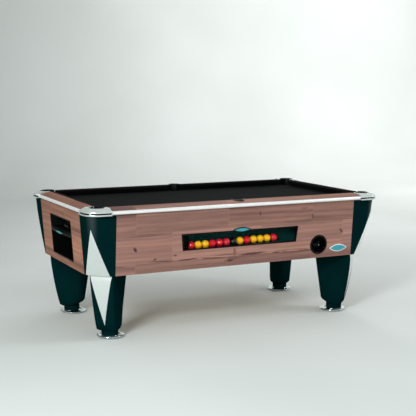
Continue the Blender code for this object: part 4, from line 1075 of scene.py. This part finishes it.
def ball(number, centre, radius, kind):
    bm = bmesh.new()
    bmesh.ops.create_uvsphere(bm, u_segments=2 * BALL_RINGS, v_segments=BALL_RINGS, radius=radius)
    spot = [i for i, f in enumerate(bm.faces) if f.normal.angle(UP) < SPOT_ANGLE]
    turn = Matrix.Translation(centre) @ UP.rotation_difference(SPOT_WAY).to_matrix().to_4x4()
    bmesh.ops.transform(bm, matrix=turn, verts=bm.verts)
    nodes = [f"ball_{number:02d}"] if number <= CAD_BALLS else []
    made = make_piece(f"pool_ball_{number:02d}", bm, *RESINS[kind], nodes=nodes)
    if kind == "B":
        refinish(made, WHITE_RESIN, spot)


first_ball, last_ball = middle("ball_01"), middle(f"ball_{CAD_BALLS:02d}")
low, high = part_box("ball_01")
ball_radius = (high.z - low.z) / 2
pitch = (last_ball - first_ball) / (CAD_BALLS - 1)
for i, kind in enumerate(BALL_ORDER):
    ball(i + 1, first_ball + pitch * i, ball_radius, kind)
print(len(BALL_ORDER), "balls of radius", round(ball_radius, 4), "m, pitch", round(pitch.length, 4))

# %% [markdown]
# ## Cue-ball cup
# The cue ball comes back to its own round cup in the front. The cup is turned like the feet, about an
# axis that leans with the apron: a rolled glossy rim, then a half-round bowl inside a straight barrel.
# The ball drops in from above, so the barrel has a hole in its top, which is carved after the turning.

# %% Turn the cup
FRONT = BVHTree.FromBMesh(cad_copy("apron_front"))
PROBE_X = 0.80
PROBE_LOW = 0.46
PROBE_HIGH = 0.76
CUP_HEIGHT = 0.518
CUP_DEPTH = 0.085
CUP_RIM = 0.010
CUP_WALL = 0.005
CUP_LIP = 0.004
CUP_MOUTH = 0.012
CUP_ENTRY = 0.0315
RIM_LIFT = 0.0004


def front_y(z):
    return FRONT.ray_cast(Vector((PROBE_X, -FAR_OUT, z)), Vector((0, 1, 0)))[0].y


front_lean = (front_y(PROBE_LOW) - front_y(PROBE_HIGH)) / (PROBE_HIGH - PROBE_LOW)


def front_turn(x, z):
    """Places a flat design on the leaning front: its X along the table, its Z out of the face."""
    at = Vector((x, front_y(PROBE_LOW) - front_lean * (z - PROBE_LOW), z))
    return Matrix.Translation(at) @ Matrix.Rotation(math.pi / 2 + math.atan(front_lean), 4, "X")


low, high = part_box("cue_ball_cup")
cup_radius, cup_x = (high.x - low.x) / 2, (low.x + high.x) / 2
barrel = cup_radius - CUP_RIM
inner = barrel - CUP_WALL
outline = arc((0, -CUP_MOUTH), inner, inner, -90, 0, 24)
outline += arc(((inner + cup_radius) / 2, RIM_LIFT), (cup_radius - inner) / 2, CUP_LIP, 180, 0, 16)
bm = spun(outline + [(barrel, RIM_LIFT), (barrel, -CUP_DEPTH), (0, -CUP_DEPTH)])
bmesh.ops.transform(bm, matrix=front_turn(cup_x, CUP_HEIGHT), verts=bm.verts)
entry = drum(Vector((cup_x, first_ball.y + ball_radius / 2)), CUP_ENTRY, CUP_HEIGHT,
             CUP_HEIGHT + 2 * cup_radius)
make_piece("turned_cue_ball_cup", carve(bm, entry), GLOSS_BLACK, "black_plastic",
           nodes=["cue_ball_cup"])
print("front leans", round(math.degrees(math.atan(front_lean)), 2), "degrees; cup across",
      round(2 * cup_radius, 4), "m")

# %% [markdown]
# ## Coin end
# The end has a recess for the coin slide above a bowed ledge, and below it the hopper where balls are
# picked up. Both are moulded in black, so edges have to be round enough to catch a line of light. The
# slide and the gate are bare steel; they ride on their own bodies, and the CAD shapes are copied so that
# nothing moves away from the joints.

# %% Hopper, coin unit, slide and gate, each with the radius of its edges
dress("hopper", HOUSING_BLACK, "black_plastic", 0.0015)
dress("coin_mech", HOUSING_BLACK, "black_plastic", 0.0015)
moving = [dress("coin_slide", ZINC, "zinc_steel", 0.0008, "coin_slide"),
          dress("release_gate", ZINC, "zinc_steel", 0.0006, "release_gate")]
print("moving pieces:", [piece.name for piece in moving])

# %% [markdown]
# ## Enamelled plates
# A plain lens-shaped plate sits on the front beside the cup, one hangs over the window's top edge in a
# black rim, and a small one marks the ledge at the coin end. A circle of points pulled towards two tips
# makes the lens; it is pushed up into a plate, and its upper edge is rounded so that it reads as a domed
# enamel.

# %% Lens plates on the front and on the ledge
PLATE_STEPS = 64
FRONT_PLATE = front_turn(0.767, 0.484)
WINDOW_BADGE = front_turn(0, 0.6645)
WINDOW_BADGE_LOW = front_turn(0, 0.6630)
LEDGE_LINE = Vector((-FAR_OUT, 0, 0.6355))
LEDGE_WAY = Matrix(((0, 0, -1), (-1, 0, 0), (0, 1, 0))).to_4x4()


def plate(name, place, lift, width, height, thick, dome, finish, slot="polished_aluminium"):
    """A pointed oval plate with a rounded upper edge, lifted off the face it is placed on."""
    bm = bmesh.new()
    bmesh.ops.create_circle(bm, cap_ends=True, segments=PLATE_STEPS, radius=1.0)
    for vert in bm.verts:
        vert.co.y *= abs(vert.co.y) * height / 2
        vert.co.x *= width / 2
    top = only(VERT, bmesh.ops.extrude_face_region(bm, geom=bm.faces)["geom"])
    bmesh.ops.translate(bm, vec=(0, 0, thick), verts=top)
    bmesh.ops.recalc_face_normals(bm, faces=bm.faces)
    rim = [e for e in bm.edges if all(v in set(top) for v in e.verts)]
    bmesh.ops.bevel(bm, geom=rim, offset=dome, segments=4, profile=0.5, affect="EDGES", material=-1)
    bmesh.ops.transform(bm, matrix=place @ Matrix.Translation((0, 0, lift)), verts=bm.verts)
    make_piece(name, bm, finish, slot)


ledge = BVHTree.FromBMesh(cad_copy("hopper")).ray_cast(LEDGE_LINE, Vector((1, 0, 0)))[0]
# In each row: name, place, lift, width, height, thickness, rounding of the edge, finish
plate("front_plate_rim", FRONT_PLATE, 0.0002, 0.146, 0.052, 0.0022, 0.0012, ALUMINIUM)
plate("front_plate_enamel", FRONT_PLATE, 0.0022, 0.130, 0.042, 0.0012, 0.0008, ENAMEL)
plate("window_badge_rim", WINDOW_BADGE, 0.0024, 0.132, 0.030, 0.0030, 0.0014, GLOSS_BLACK,
      "black_plastic")
plate("window_badge_enamel", WINDOW_BADGE_LOW, 0.0054, 0.112, 0.020, 0.0012, 0.0008, ENAMEL)
plate("ledge_plate_enamel", Matrix.Translation(ledge) @ LEDGE_WAY, 0.0002, 0.150, 0.0135, 0.0016,
      0.0008, ENAMEL)
